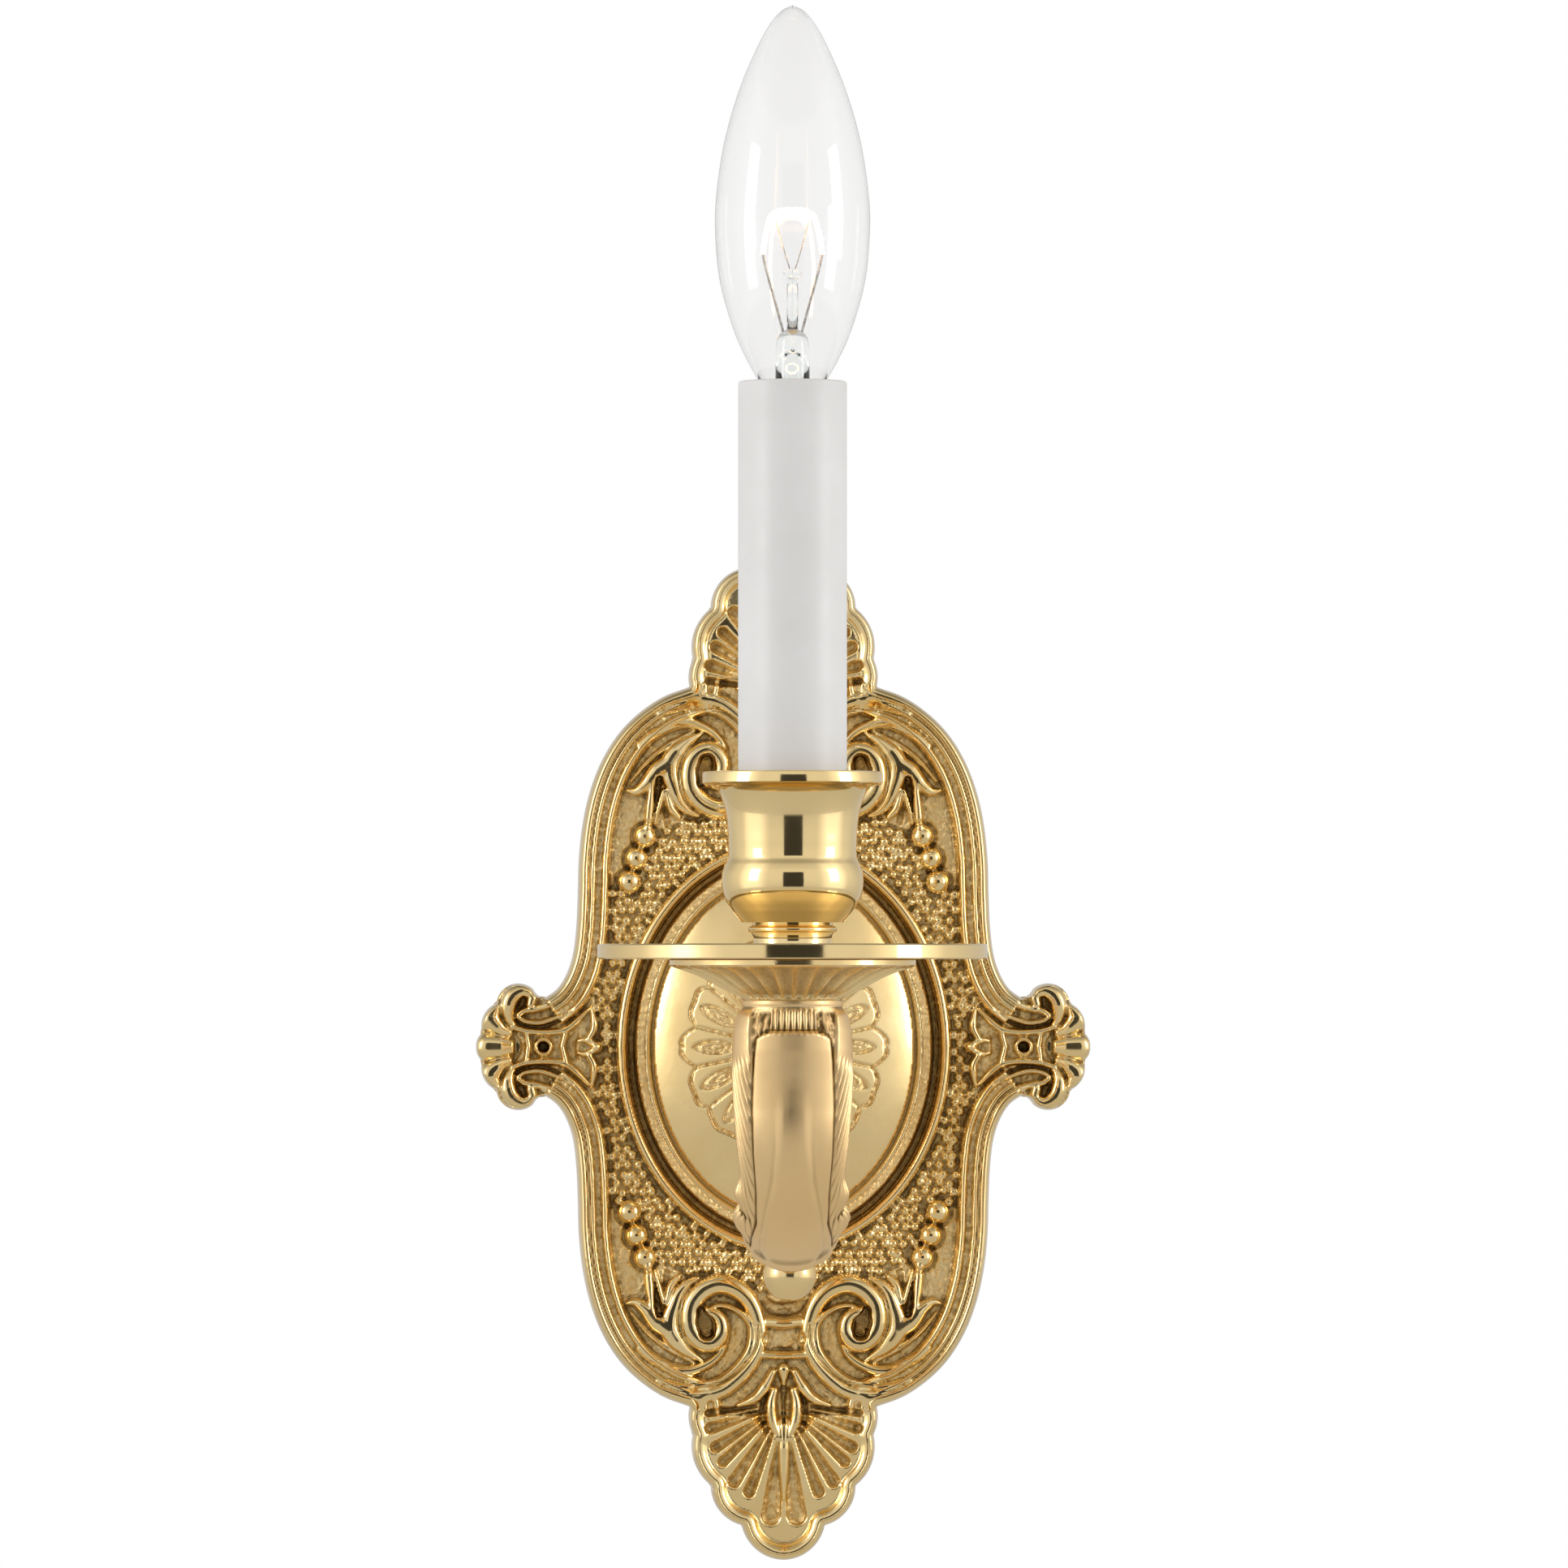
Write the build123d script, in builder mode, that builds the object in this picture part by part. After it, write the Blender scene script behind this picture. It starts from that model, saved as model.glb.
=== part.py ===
from build123d import *
from math import cos, pi, radians, sin
import os

# Electric candle wall sconce: a cast brass back plate, a cast scroll arm, a drip pan between a fluted cup and a
# turned candle cup, a white candle sleeve over a candelabra socket, and a candelabra lamp that screws into it.
# Millimetres. The wall is the plane Y = 0, the front faces -Y, and the origin is the plate's centre on the wall.

# ---- driving dimensions -------------------------------------------------------------------------------------
REACH = 88.0  # wall to candle axis
PLATE_HALF_WIDTH = 65.6  # to a side finial's tip
PLATE_HALF_HEIGHT = 109.6  # to a shell's tip
FIELD = 6.0  # thickness of the plate's ground
RIM_HEIGHT = 9.0
DOME_HEIGHT = 14.0
DOME_SECTIONS = [  # height, half width, half height of the oval
    (5.0, 30.2, 36.2),
    (7.0, 29.6, 35.6),
    (8.8, 27.6, 33.4),
    (10.6, 24.0, 29.2),
    (12.2, 19.4, 23.6),
    (13.4, 14.4, 17.4),
    (14.0, 10.0, 11.6),
]
OVAL_HALF = (35.8, 42.0)
OVAL_WIDTH = 2.6

ARM_TOP = 10.1
CUP_BASE = 18.6  # top of the fluted cup, underside of the drip pan
PAN_RADIUS = 40.0
PAN_THICK = 3.1
CANDLE_CUP_BASE = 26.1
CANDLE_CUP_TOP = 57.0
SLEEVE_RADIUS = 11.15
SLEEVE_WALL = 0.95
SLEEVE_SEAT = 31.0
SLEEVE_TOP = 136.9
LAMP_TOP = 214.0
LAMP_RADIUS = 15.9
LAMP_TIP = 115.2  # lowest point of the lamp, on its axis

NIPPLE_RADIUS = 4.8  # 1/8 IP lamp pipe
NIPPLE_BORE = 3.3
NIPPLE_HOLE = 5.0
THREAD_CLEARANCE = 0.05  # a plain bore's clearance round the pipe's thread
BACK_NIPPLE_LENGTH = 21.0
CANDLE_NIPPLE_ENDS = (0.6, 38.0)  # heights of its two ends
NUT_ACROSS_FLATS = 14.0
NUT_THICK = 3.1
LEAD_RADIUS = 1.1
LEAD_SIDE = 1.3  # each lead's distance from the middle of the wire way
LEAD_START = -0.6  # Y of the end that meets the house wiring
LEAD_SPREAD = (62.0, 90.0)  # heights between which the leads part to reach the terminals

STRAP = (16.0, 105.0, 1.5)  # width, height, thickness
STRAP_SLOT = (14.6, 4.6)  # length, width, for box screws 2-3/4 to 3-1/2 inches apart
STRAP_SLOT_SPACING = 79.4
GROUND_SCREW_Z = 18.0
GROUND_SCREW_RADIUS = 1.85
GROUND_SCREW_HEAD = (4.0, 2.2)  # corner radius and thickness of the hex head
GROUND_SCREW_SLOT = (6.0, 0.9)  # length and width of the driver slot
WASHER_RADIUS = 8.6
WASHER_THICK = 0.9
WASHER_TEETH = 12

THREAD_PITCH = 2.54  # E12, ten turns to the inch
THREAD_ROUND = 0.6  # radius of the rolled thread's ridge
BASE_RADIUS = 5.45
BASE_THREAD_LINE = 5.25  # radius of the helix that the lamp's ridge follows
SHELL_THREAD_LINE = 6.2  # the same for the socket's ridge, half a pitch away

CANDLE_AXIS = Axis((0, -REACH, 0), (0, 0, 1))
CANDLE_SECTION = Plane.XZ.offset(REACH)  # local x is +X, local y is +Z, origin on the candle axis

# the arm's centre line in the plane X = 0, as (Y, Z)
ARM_START = (-14.0, 0.0)
ARM_DROP = (-22.0, 10.0)  # where the first bend starts, and its radius
ARM_BOW_RADIUS = 28.0
ARM_BOW_Z = -12.5


def candle_plane(z):
    """A horizontal plane on the candle axis at height z."""
    return Plane((0, -REACH, z))


def arm_line(side, y_from, z_to):
    """The wire way's line, side mm off the middle: out of the wall, down, round the bow and up to z_to."""
    bend_y, bend_r = ARM_DROP
    fall_y = bend_y - bend_r
    bow_y = fall_y - ARM_BOW_RADIUS
    half = cos(pi / 4)
    Line((side, y_from, 0), (side, bend_y, 0))
    ThreePointArc(
        (side, bend_y, 0),
        (side, bend_y - bend_r * half, -bend_r * (1 - half)),
        (side, fall_y, -bend_r),
    )
    Line((side, fall_y, -bend_r), (side, fall_y, ARM_BOW_Z))
    ThreePointArc(
        (side, fall_y, ARM_BOW_Z),
        (side, bow_y, ARM_BOW_Z - ARM_BOW_RADIUS),
        (side, -REACH, ARM_BOW_Z),
    )
    Line((side, -REACH, ARM_BOW_Z), (side, -REACH, z_to))


# ---- back plate ---------------------------------------------------------------------------------------------
SIDE_FINIAL = [  # lobes of a side finial, from its tip up to the notch: start, middle, end
    ((PLATE_HALF_WIDTH, 0), (65.2, 2.6), (63.9, 4.3)),
    ((63.9, 4.3), (63.8, 7.2), (61.7, 9.2)),
    ((61.7, 9.2), (56.9, 14.0), (51.4, 12.2)),
]
BODY_SIDE = [
    ((49.9, 10.0), (45.3, 15.9), (43.4, 24.0)),
    ((43.4, 24.0), (43.8, 38.0), (42.2, 53.6)),
    ((42.2, 53.6), (36.6, 68.3), (24.6, 76.0)),
]
SHELL_LOBES = [
    ((20.0, 77.2), (20.0, 81.0), (19.3, 84.8)),
    ((19.3, 84.8), (18.4, 90.4), (15.3, 93.7)),
    ((15.3, 93.7), (14.0, 98.8), (9.5, 101.9)),
    ((9.5, 101.9), (6.4, 107.6), (0, PLATE_HALF_HEIGHT)),
]
BODY_LOOP = (82.0, 147.0, 24.0)  # width, height, corner radius of the raised rim's middle
RIM_WIDTH = 4.0
BEVEL = 0.8  # step round the plate's front edge
SHELL_ROOT = 76.0
SHELL_RIB = 25.0
SHELL_RIB_TURNS = (-34, -17, 0, 17, 34)
RIB_WIDTH = 3.0
RIB_RISE = 2.0  # above the ground, as the scroll eyes and bosses have theirs
EYE_RISE = 3.0
PIN_BOSS_RISE = 1.2
ROOTED = 1.0  # how far raised work starts below the ground's surface
PIN_X = 51.2
PIN_HOLE = 1.1
PIN_BOSS = 3.4
BERRIES = [(32.5, 41.0, 1.9), (30.5, 45.0, 2.0), (28.0, 49.0, 2.1)]  # x, z, radius in one quarter
SCROLL_EYE = (15.6, 58.5)
SCROLL_RADIUS = 6.5
BACK_POCKET = (76.0, 140.0, 22.0)
POCKET_DEPTH = 3.0
DOME_POCKET_HALF = (27.0, 33.0)
DOME_POCKET_DEPTH = 6.0
NUT_POCKET_HALF = (17.0, 22.0)
NUT_PAD = 10.5  # depth of the nut pocket's floor, which the arm's nut bears on


def quarters(points):
    """The four mirror images of (x, z, ...) entries of one quarter."""
    return [(sx * p[0], sz * p[1], *p[2:]) for p in points for sx in (1, -1) for sz in (1, -1)]


RAISED = Plane.XZ.offset(FIELD - ROOTED)  # where raised work starts

with BuildPart() as back_plate:
    with BuildSketch(Plane.XZ):
        with BuildLine():
            for lobe in SIDE_FINIAL + BODY_SIDE + SHELL_LOBES:
                ThreePointArc(*lobe)
            Line(SIDE_FINIAL[-1][2], BODY_SIDE[0][0])
            Line(BODY_SIDE[-1][2], SHELL_LOBES[0][0])
            mirror(about=Plane.YZ)
            mirror(about=Plane.XZ)
        make_face()
    extrude(amount=FIELD - BEVEL)
    with BuildSketch(Plane.XZ.offset(FIELD - BEVEL)):
        add(back_plate.faces().sort_by(Axis.Y)[0])
        offset(amount=-BEVEL)
    extrude(amount=BEVEL)
    # raised rim
    with BuildSketch(RAISED):
        RectangleRounded(*BODY_LOOP)
        offset(amount=-RIM_WIDTH, mode=Mode.SUBTRACT)
    extrude(amount=RIM_HEIGHT - FIELD + ROOTED)
    # oval ring and dome
    with BuildSketch(RAISED):
        Ellipse(*OVAL_HALF)
        Ellipse(OVAL_HALF[0] - OVAL_WIDTH, OVAL_HALF[1] - OVAL_WIDTH, mode=Mode.SUBTRACT)
    extrude(amount=RIM_HEIGHT - FIELD + ROOTED)
    for depth, half_width, half_height in DOME_SECTIONS:
        with BuildSketch(Plane.XZ.offset(depth)):
            Ellipse(half_width, half_height)
    loft(ruled=True)
    # berries and scroll eyes
    for x, z, radius in quarters(BERRIES):
        with Locations((x, -FIELD, z)):
            Sphere(radius)
    with BuildSketch(RAISED):
        for x, z in quarters([SCROLL_EYE]):
            with Locations((x, z)):
                Circle(SCROLL_RADIUS)
    extrude(amount=EYE_RISE + ROOTED)
    # bosses and pin holes of the side finials
    with BuildSketch(RAISED):
        with Locations((PIN_X, 0), (-PIN_X, 0)):
            Circle(PIN_BOSS)
    extrude(amount=PIN_BOSS_RISE + ROOTED)
    with BuildSketch(Plane.XZ):
        with Locations((PIN_X, 0), (-PIN_X, 0)):
            Circle(PIN_HOLE)
    extrude(amount=RIM_HEIGHT, mode=Mode.SUBTRACT)
    # shell ribs
    for turn in SHELL_RIB_TURNS:
        for up in (1, -1):
            root = (0, SHELL_ROOT * up)
            far = (SHELL_RIB * sin(radians(turn)), (SHELL_ROOT + SHELL_RIB * cos(radians(turn))) * up)
            with BuildSketch(RAISED):
                with BuildLine():
                    Line(root, far)
                trace(line_width=RIB_WIDTH)
            extrude(amount=RIB_RISE + ROOTED)
    # hollow back
    with BuildSketch(Plane.XZ):
        RectangleRounded(*BACK_POCKET)
    extrude(amount=POCKET_DEPTH, mode=Mode.SUBTRACT)
    with BuildSketch(Plane.XZ):
        Ellipse(*DOME_POCKET_HALF)
    extrude(amount=DOME_POCKET_DEPTH, mode=Mode.SUBTRACT)
    with BuildSketch(Plane.XZ):
        Ellipse(*NUT_POCKET_HALF)
    extrude(amount=NUT_PAD, mode=Mode.SUBTRACT)
    # hole for the back nipple
    with BuildSketch(Plane.XZ):
        Circle(NIPPLE_HOLE)
    extrude(amount=DOME_HEIGHT + 1, mode=Mode.SUBTRACT)

# ---- wall fixing --------------------------------------------------------------------------------------------
with BuildPart() as mounting_strap:
    with BuildSketch(Plane.XZ):
        SlotOverall(STRAP[1], STRAP[0], rotation=90)
        Circle(NIPPLE_HOLE, mode=Mode.SUBTRACT)
        with Locations((0, STRAP_SLOT_SPACING / 2), (0, -STRAP_SLOT_SPACING / 2)):
            SlotOverall(*STRAP_SLOT, rotation=90, mode=Mode.SUBTRACT)
        with Locations((0, GROUND_SCREW_Z)):
            Circle(GROUND_SCREW_RADIUS + 0.1, mode=Mode.SUBTRACT)
    extrude(amount=STRAP[2])

with BuildPart() as ground_screw:
    with BuildSketch(Plane.XZ.offset(STRAP[2])):
        with Locations((0, GROUND_SCREW_Z)):
            RegularPolygon(GROUND_SCREW_HEAD[0], 6)
    extrude(amount=GROUND_SCREW_HEAD[1])
    chamfer(ground_screw.faces().sort_by(Axis.Y)[0].edges(), length=0.4)
    with BuildSketch(Plane.XZ):
        with Locations((0, GROUND_SCREW_Z)):
            Circle(GROUND_SCREW_RADIUS)
    extrude(amount=STRAP[2])
    with BuildSketch(Plane.XZ.offset(STRAP[2] + 0.6 * GROUND_SCREW_HEAD[1])):
        with Locations((0, GROUND_SCREW_Z)):
            Rectangle(*GROUND_SCREW_SLOT)
    extrude(amount=GROUND_SCREW_HEAD[1], mode=Mode.SUBTRACT)

with BuildPart() as back_nipple:
    with BuildSketch(Plane.XZ):
        Circle(NIPPLE_RADIUS)
        Circle(NIPPLE_BORE, mode=Mode.SUBTRACT)
    extrude(amount=BACK_NIPPLE_LENGTH)


def wall_nut(back):
    """A hex nut on the back nipple, its rear face back mm in front of the wall."""
    with BuildPart() as nut:
        with BuildSketch(Plane.XZ.offset(back)):
            RegularPolygon(NUT_ACROSS_FLATS / 2, 6, major_radius=False)
            Circle(NIPPLE_RADIUS + THREAD_CLEARANCE, mode=Mode.SUBTRACT)
        extrude(amount=NUT_THICK)
    return nut.part


strap_nut = wall_nut(STRAP[2])
plate_nut = wall_nut(NUT_PAD - WASHER_THICK - NUT_THICK)

with BuildPart() as plate_washer:
    with BuildSketch(Plane.XZ.offset(NUT_PAD - WASHER_THICK)):
        Circle(WASHER_RADIUS)
        Circle(NIPPLE_HOLE, mode=Mode.SUBTRACT)
        with PolarLocations(WASHER_RADIUS, WASHER_TEETH):
            Rectangle(1.2, 1.4, mode=Mode.SUBTRACT)
    extrude(amount=WASHER_THICK)

# ---- arm ----------------------------------------------------------------------------------------------------
BOW_STATIONS = [  # degrees round the bow from its wall side, half width, half depth
    (25, 6.6, 6.2),
    (60, 7.6, 6.4),
    (90, 9.4, 6.8),
    (120, 10.2, 7.0),
    (150, 10.2, 7.6),
]
RISE_STATIONS = [(ARM_BOW_Z, 11.2, 8.4), (3.0, 12.1, 10.0), (7.6, 10.9, 9.8)]  # Z, half width, half depth
START_HALVES = [(6.4, 6.4), (5.8, 5.8), (6.0, 6.0), (6.2, 6.0)]  # at the plate, both ends of the bend, the bow
FINIAL = (-62.0, -47.3, 5.1)  # Y, Z, radius of the ball under the bow
ARM_SEAT = (9.6, 7.0)  # radius of the fluted cup's seat, and its lower edge's Z
FLANGE_STEPS = [(9.0, 2.4), (7.4, 2.0)]  # radius and thickness of each, from the plate outwards
BACK_THREAD_DEPTH = 7.0
CANDLE_THREAD_DEPTH = 10.0

with BuildPart() as arm:
    bend_y, bend_r = ARM_DROP
    fall_y = bend_y - bend_r
    bow_y = fall_y - ARM_BOW_RADIUS
    stations = [
        Plane((0, ARM_START[0], 0), x_dir=(1, 0, 0), z_dir=(0, -1, 0)),
        Plane((0, bend_y, 0), x_dir=(1, 0, 0), z_dir=(0, -1, 0)),
        Plane(
            (0, bend_y - bend_r * sin(pi / 4), -bend_r * (1 - cos(pi / 4))),
            x_dir=(1, 0, 0),
            z_dir=(0, -1, -1),
        ),
        Plane((0, fall_y, ARM_BOW_Z), x_dir=(1, 0, 0), z_dir=(0, 0, -1)),
    ]
    halves = list(START_HALVES)
    for degrees, half_width, half_depth in BOW_STATIONS:
        turn = radians(degrees)
        centre = (0, bow_y + ARM_BOW_RADIUS * cos(turn), ARM_BOW_Z - ARM_BOW_RADIUS * sin(turn))
        stations.append(Plane(centre, x_dir=(1, 0, 0), z_dir=(0, -sin(turn), -cos(turn))))
        halves.append((half_width, half_depth))
    for z, half_width, half_depth in RISE_STATIONS:
        stations.append(Plane((0, -REACH, z), x_dir=(1, 0, 0), z_dir=(0, 0, 1)))
        halves.append((half_width, half_depth))
    for station, (half_width, half_depth) in zip(stations, halves):
        with BuildSketch(station):
            Ellipse(half_width, half_depth)
    loft()
    # seat under the fluted cup, and the flange on the plate
    with BuildSketch(candle_plane(ARM_SEAT[1])):
        Circle(ARM_SEAT[0])
    extrude(amount=ARM_TOP - ARM_SEAT[1])
    step_back = DOME_HEIGHT
    for radius, thick in FLANGE_STEPS:
        with BuildSketch(Plane.XZ.offset(step_back)):
            Circle(radius)
        extrude(amount=thick)
        step_back += thick
    with Locations((0, FINIAL[0], FINIAL[1])):
        Sphere(FINIAL[2])
    # wire way
    with BuildLine():
        arm_line(0, -DOME_HEIGHT, ARM_TOP)
    with BuildSketch(Plane.XZ.offset(DOME_HEIGHT)):
        Circle(NIPPLE_BORE)
    sweep(mode=Mode.SUBTRACT)
    # threaded seats for the two nipples
    with BuildSketch(Plane.XZ.offset(DOME_HEIGHT)):
        Circle(NIPPLE_RADIUS + THREAD_CLEARANCE)
    extrude(amount=BACK_THREAD_DEPTH, mode=Mode.SUBTRACT)
    with BuildSketch(candle_plane(ARM_TOP)):
        Circle(NIPPLE_RADIUS + THREAD_CLEARANCE)
    extrude(amount=-CANDLE_THREAD_DEPTH, mode=Mode.SUBTRACT)

# ---- stack under the candle -----------------------------------------------------------------------------------
FLUTED_RIM = 25.3
FLUTED_FLOOR = 13.6  # the cup's inside, above its foot
FLUTED_CURVE = [(9.3, ARM_TOP), (13.6, 12.3), (18.5, 14.6), (25.2, 17.2)]

with BuildPart() as fluted_cup:
    with BuildSketch(CANDLE_SECTION):
        with BuildLine():
            Line((NIPPLE_HOLE, ARM_TOP), FLUTED_CURVE[0])
            Spline(*FLUTED_CURVE)
            Polyline(
                FLUTED_CURVE[-1],
                (FLUTED_RIM, CUP_BASE),
                (FLUTED_RIM - 2.7, CUP_BASE),
                (9.0, FLUTED_FLOOR),
                (NIPPLE_HOLE, FLUTED_FLOOR),
                (NIPPLE_HOLE, ARM_TOP),
            )
        make_face()
    revolve(axis=CANDLE_AXIS)

PAN_LIP = 2.2
PAN_HUB = 10.5  # radius of the raised middle that the neck ring stands on
PAN_RECESS = 1.3

with BuildPart() as drip_pan:
    with BuildSketch(candle_plane(CUP_BASE)):
        Circle(PAN_RADIUS)
        Circle(NIPPLE_HOLE, mode=Mode.SUBTRACT)
    extrude(amount=PAN_THICK)
    with BuildSketch(candle_plane(CUP_BASE + PAN_THICK)):
        Circle(PAN_RADIUS - PAN_LIP)
        Circle(PAN_HUB, mode=Mode.SUBTRACT)
    extrude(amount=-PAN_RECESS, mode=Mode.SUBTRACT)
    chamfer(drip_pan.edges().filter_by(GeomType.CIRCLE).sort_by(SortBy.RADIUS)[-2:], length=0.25)

with BuildPart() as neck_ring:
    pan_top = CUP_BASE + PAN_THICK
    with BuildSketch(CANDLE_SECTION):
        with BuildLine():
            Polyline((NIPPLE_HOLE, pan_top), (7.9, pan_top), (8.4, 23.3))
            ThreePointArc((8.4, 23.3), (9.2, 24.4), (8.6, 25.5))
            Polyline((8.6, 25.5), (7.9, CANDLE_CUP_BASE), (NIPPLE_HOLE, CANDLE_CUP_BASE), (NIPPLE_HOLE, pan_top))
        make_face()
    revolve(axis=CANDLE_AXIS)

CUP_BORE = 11.7
CUP_FLOOR = 28.6
NUT_WELL = 9.6  # radius of the well under the sleeve, which holds the cup's nut
CUP_CURVE = [
    (10.2, CANDLE_CUP_BASE),
    (13.6, 29.2),
    (14.6, 33.6),
    (13.3, 39.6),
    (13.6, 47.0),
    (14.7, 52.3),
    (18.0, 54.3),
]
with BuildPart() as candle_cup:
    with BuildSketch(CANDLE_SECTION):
        with BuildLine():
            Line((NIPPLE_HOLE, CANDLE_CUP_BASE), (10.2, CANDLE_CUP_BASE))
            Spline(*CUP_CURVE, tangents=[(1, 0.15), (1, 0.1)])
            Line(CUP_CURVE[-1], (18.5, 54.8))
            Polyline((18.5, 54.8), (18.5, 56.6), (18.1, CANDLE_CUP_TOP), (17.3, CANDLE_CUP_TOP))
            ThreePointArc((17.3, CANDLE_CUP_TOP), (13.6, 54.4), (CUP_BORE, 49.5))
            Polyline(
                (CUP_BORE, 49.5),
                (CUP_BORE, SLEEVE_SEAT),
                (NUT_WELL, SLEEVE_SEAT),
                (NUT_WELL, CUP_FLOOR),
                (NIPPLE_HOLE, CUP_FLOOR),
                (NIPPLE_HOLE, CANDLE_CUP_BASE),
            )
        make_face()
    revolve(axis=CANDLE_AXIS)

with BuildPart() as candle_nipple:
    with BuildSketch(candle_plane(CANDLE_NIPPLE_ENDS[0])):
        Circle(NIPPLE_RADIUS)
        Circle(NIPPLE_BORE, mode=Mode.SUBTRACT)
    extrude(amount=CANDLE_NIPPLE_ENDS[1] - CANDLE_NIPPLE_ENDS[0])

with BuildPart() as cup_nut:
    with BuildSketch(candle_plane(CUP_FLOOR)):
        RegularPolygon(NUT_ACROSS_FLATS / 2, 6, major_radius=False)
        Circle(NIPPLE_RADIUS + THREAD_CLEARANCE, mode=Mode.SUBTRACT)
    extrude(amount=NUT_THICK)

with BuildPart() as candle_sleeve:
    with BuildSketch(candle_plane(SLEEVE_SEAT)):
        Circle(SLEEVE_RADIUS)
        Circle(SLEEVE_RADIUS - SLEEVE_WALL, mode=Mode.SUBTRACT)
    extrude(amount=SLEEVE_TOP - SLEEVE_SEAT)
    fillet(candle_sleeve.faces().sort_by(Axis.Z)[-1].edges().sort_by(SortBy.RADIUS)[-1], radius=0.4)

# ---- socket -------------------------------------------------------------------------------------------------
SOCKET_BASE = 103.0
SOCKET_TOP = 132.3
SOCKET_FLOOR = 114.3
SOCKET_RADIUS = 8.8
SOCKET_BORE = 6.95
SHELL_RADIUS = 6.9
SHELL_BASE = 116.4
SHELL_TOP = 131.6
SHELL_THREAD = (2.4, 10.2)  # the ridge's start above the shell's base, and its height
BRACKET_FOOT = CUP_FLOOR + NUT_THICK
BRACKET_FOOT_RADIUS = 8.0
BRACKET_FOOT_THICK = 1.6
RIVET_RADIUS = 1.45
RIVET_LENGTH = 6.5
RIVET_HEAD = (2.6, 1.1)  # radius, thickness
LINER_RADIUS = 9.7
LINER_WALL = 0.7
LINER_ENDS = (100.0, 134.4)
CONTACT_LEAF = (5.0, 3.2)  # half length, width
LEAF_THICK = 0.35
LEAF_BULGE = 0.75
LEG = (8.0, 1.2)  # width, thickness
LEG_OFFSET = 8.3  # middle of the leg behind the candle axis
TERMINAL_X = 5.4
TERMINAL_DEPTH = 6.0

with BuildPart() as socket_bracket:
    with BuildSketch(candle_plane(BRACKET_FOOT)):
        Circle(BRACKET_FOOT_RADIUS)
        with Locations((0, LEG_OFFSET / 2)):
            Rectangle(LEG[0], LEG_OFFSET + LEG[1])
        Circle(NIPPLE_HOLE, mode=Mode.SUBTRACT)
    extrude(amount=BRACKET_FOOT_THICK)
    with BuildSketch(candle_plane(BRACKET_FOOT)):
        with Locations((0, LEG_OFFSET)):
            Rectangle(*LEG)
    extrude(amount=SOCKET_BASE - BRACKET_FOOT)
    with BuildSketch(candle_plane(SOCKET_BASE - LEG[1])):
        with Locations((0, LEG_OFFSET / 2 - 1)):
            Rectangle(LEG[0], LEG_OFFSET + LEG[1] + 2)
        Circle(RIVET_RADIUS + 0.15, mode=Mode.SUBTRACT)
    extrude(amount=LEG[1])

with BuildPart() as socket_body:
    with BuildSketch(candle_plane(SOCKET_BASE)):
        Circle(SOCKET_RADIUS)
    extrude(amount=SOCKET_TOP - SOCKET_BASE)
    chamfer(socket_body.edges().filter_by(GeomType.CIRCLE), length=0.5)
    with BuildSketch(candle_plane(SOCKET_FLOOR)):
        Circle(SOCKET_BORE)
    extrude(amount=SOCKET_TOP - SOCKET_FLOOR, mode=Mode.SUBTRACT)
    with BuildSketch(candle_plane(SOCKET_BASE)):
        Circle(RIVET_RADIUS + 0.05)
        with Locations((TERMINAL_X, 0), (-TERMINAL_X, 0)):
            Circle(LEAD_RADIUS + 0.1)
    extrude(amount=TERMINAL_DEPTH, mode=Mode.SUBTRACT)

with BuildPart() as bracket_rivet:
    with BuildSketch(candle_plane(SOCKET_BASE - LEG[1] - RIVET_HEAD[1])):
        Circle(RIVET_HEAD[0])
    extrude(amount=RIVET_HEAD[1])
    with BuildSketch(candle_plane(SOCKET_BASE - LEG[1])):
        Circle(RIVET_RADIUS)
    extrude(amount=RIVET_LENGTH)

with BuildPart() as socket_shell:
    with BuildSketch(candle_plane(SHELL_BASE)):
        Circle(SHELL_RADIUS)
        Circle(SHELL_THREAD_LINE, mode=Mode.SUBTRACT)
    extrude(amount=SHELL_TOP - SHELL_BASE)
    with BuildLine():
        thread_foot = (0, -REACH, SHELL_BASE + SHELL_THREAD[0])
        turns = Helix(THREAD_PITCH, SHELL_THREAD[1], SHELL_THREAD_LINE, center=thread_foot)
    with BuildSketch(Plane(origin=turns @ 0, z_dir=turns % 0)):
        Circle(THREAD_ROUND)
    sweep(path=turns, is_frenet=True)

with BuildPart() as centre_contact:
    with BuildSketch(CANDLE_SECTION):
        with BuildLine():
            Polyline(
                (-CONTACT_LEAF[0], SOCKET_FLOOR),
                (CONTACT_LEAF[0], SOCKET_FLOOR),
                (CONTACT_LEAF[0], SOCKET_FLOOR + LEAF_THICK),
                (2.2, SOCKET_FLOOR + LEAF_BULGE),
                (-2.2, SOCKET_FLOOR + LEAF_BULGE),
                (-CONTACT_LEAF[0], SOCKET_FLOOR + LEAF_THICK),
                close=True,
            )
        make_face()
    extrude(amount=CONTACT_LEAF[1] / 2, both=True)

with BuildPart() as socket_liner:
    with BuildSketch(candle_plane(LINER_ENDS[0])):
        Circle(LINER_RADIUS)
        Circle(LINER_RADIUS - LINER_WALL, mode=Mode.SUBTRACT)
        with Locations((0, LEG_OFFSET)):
            Rectangle(LEG[0] + 0.8, 4.0, mode=Mode.SUBTRACT)
    extrude(amount=SOCKET_BASE - LINER_ENDS[0])
    with BuildSketch(candle_plane(SOCKET_BASE)):
        Circle(LINER_RADIUS)
        Circle(LINER_RADIUS - LINER_WALL, mode=Mode.SUBTRACT)
    extrude(amount=LINER_ENDS[1] - SOCKET_BASE)


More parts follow.
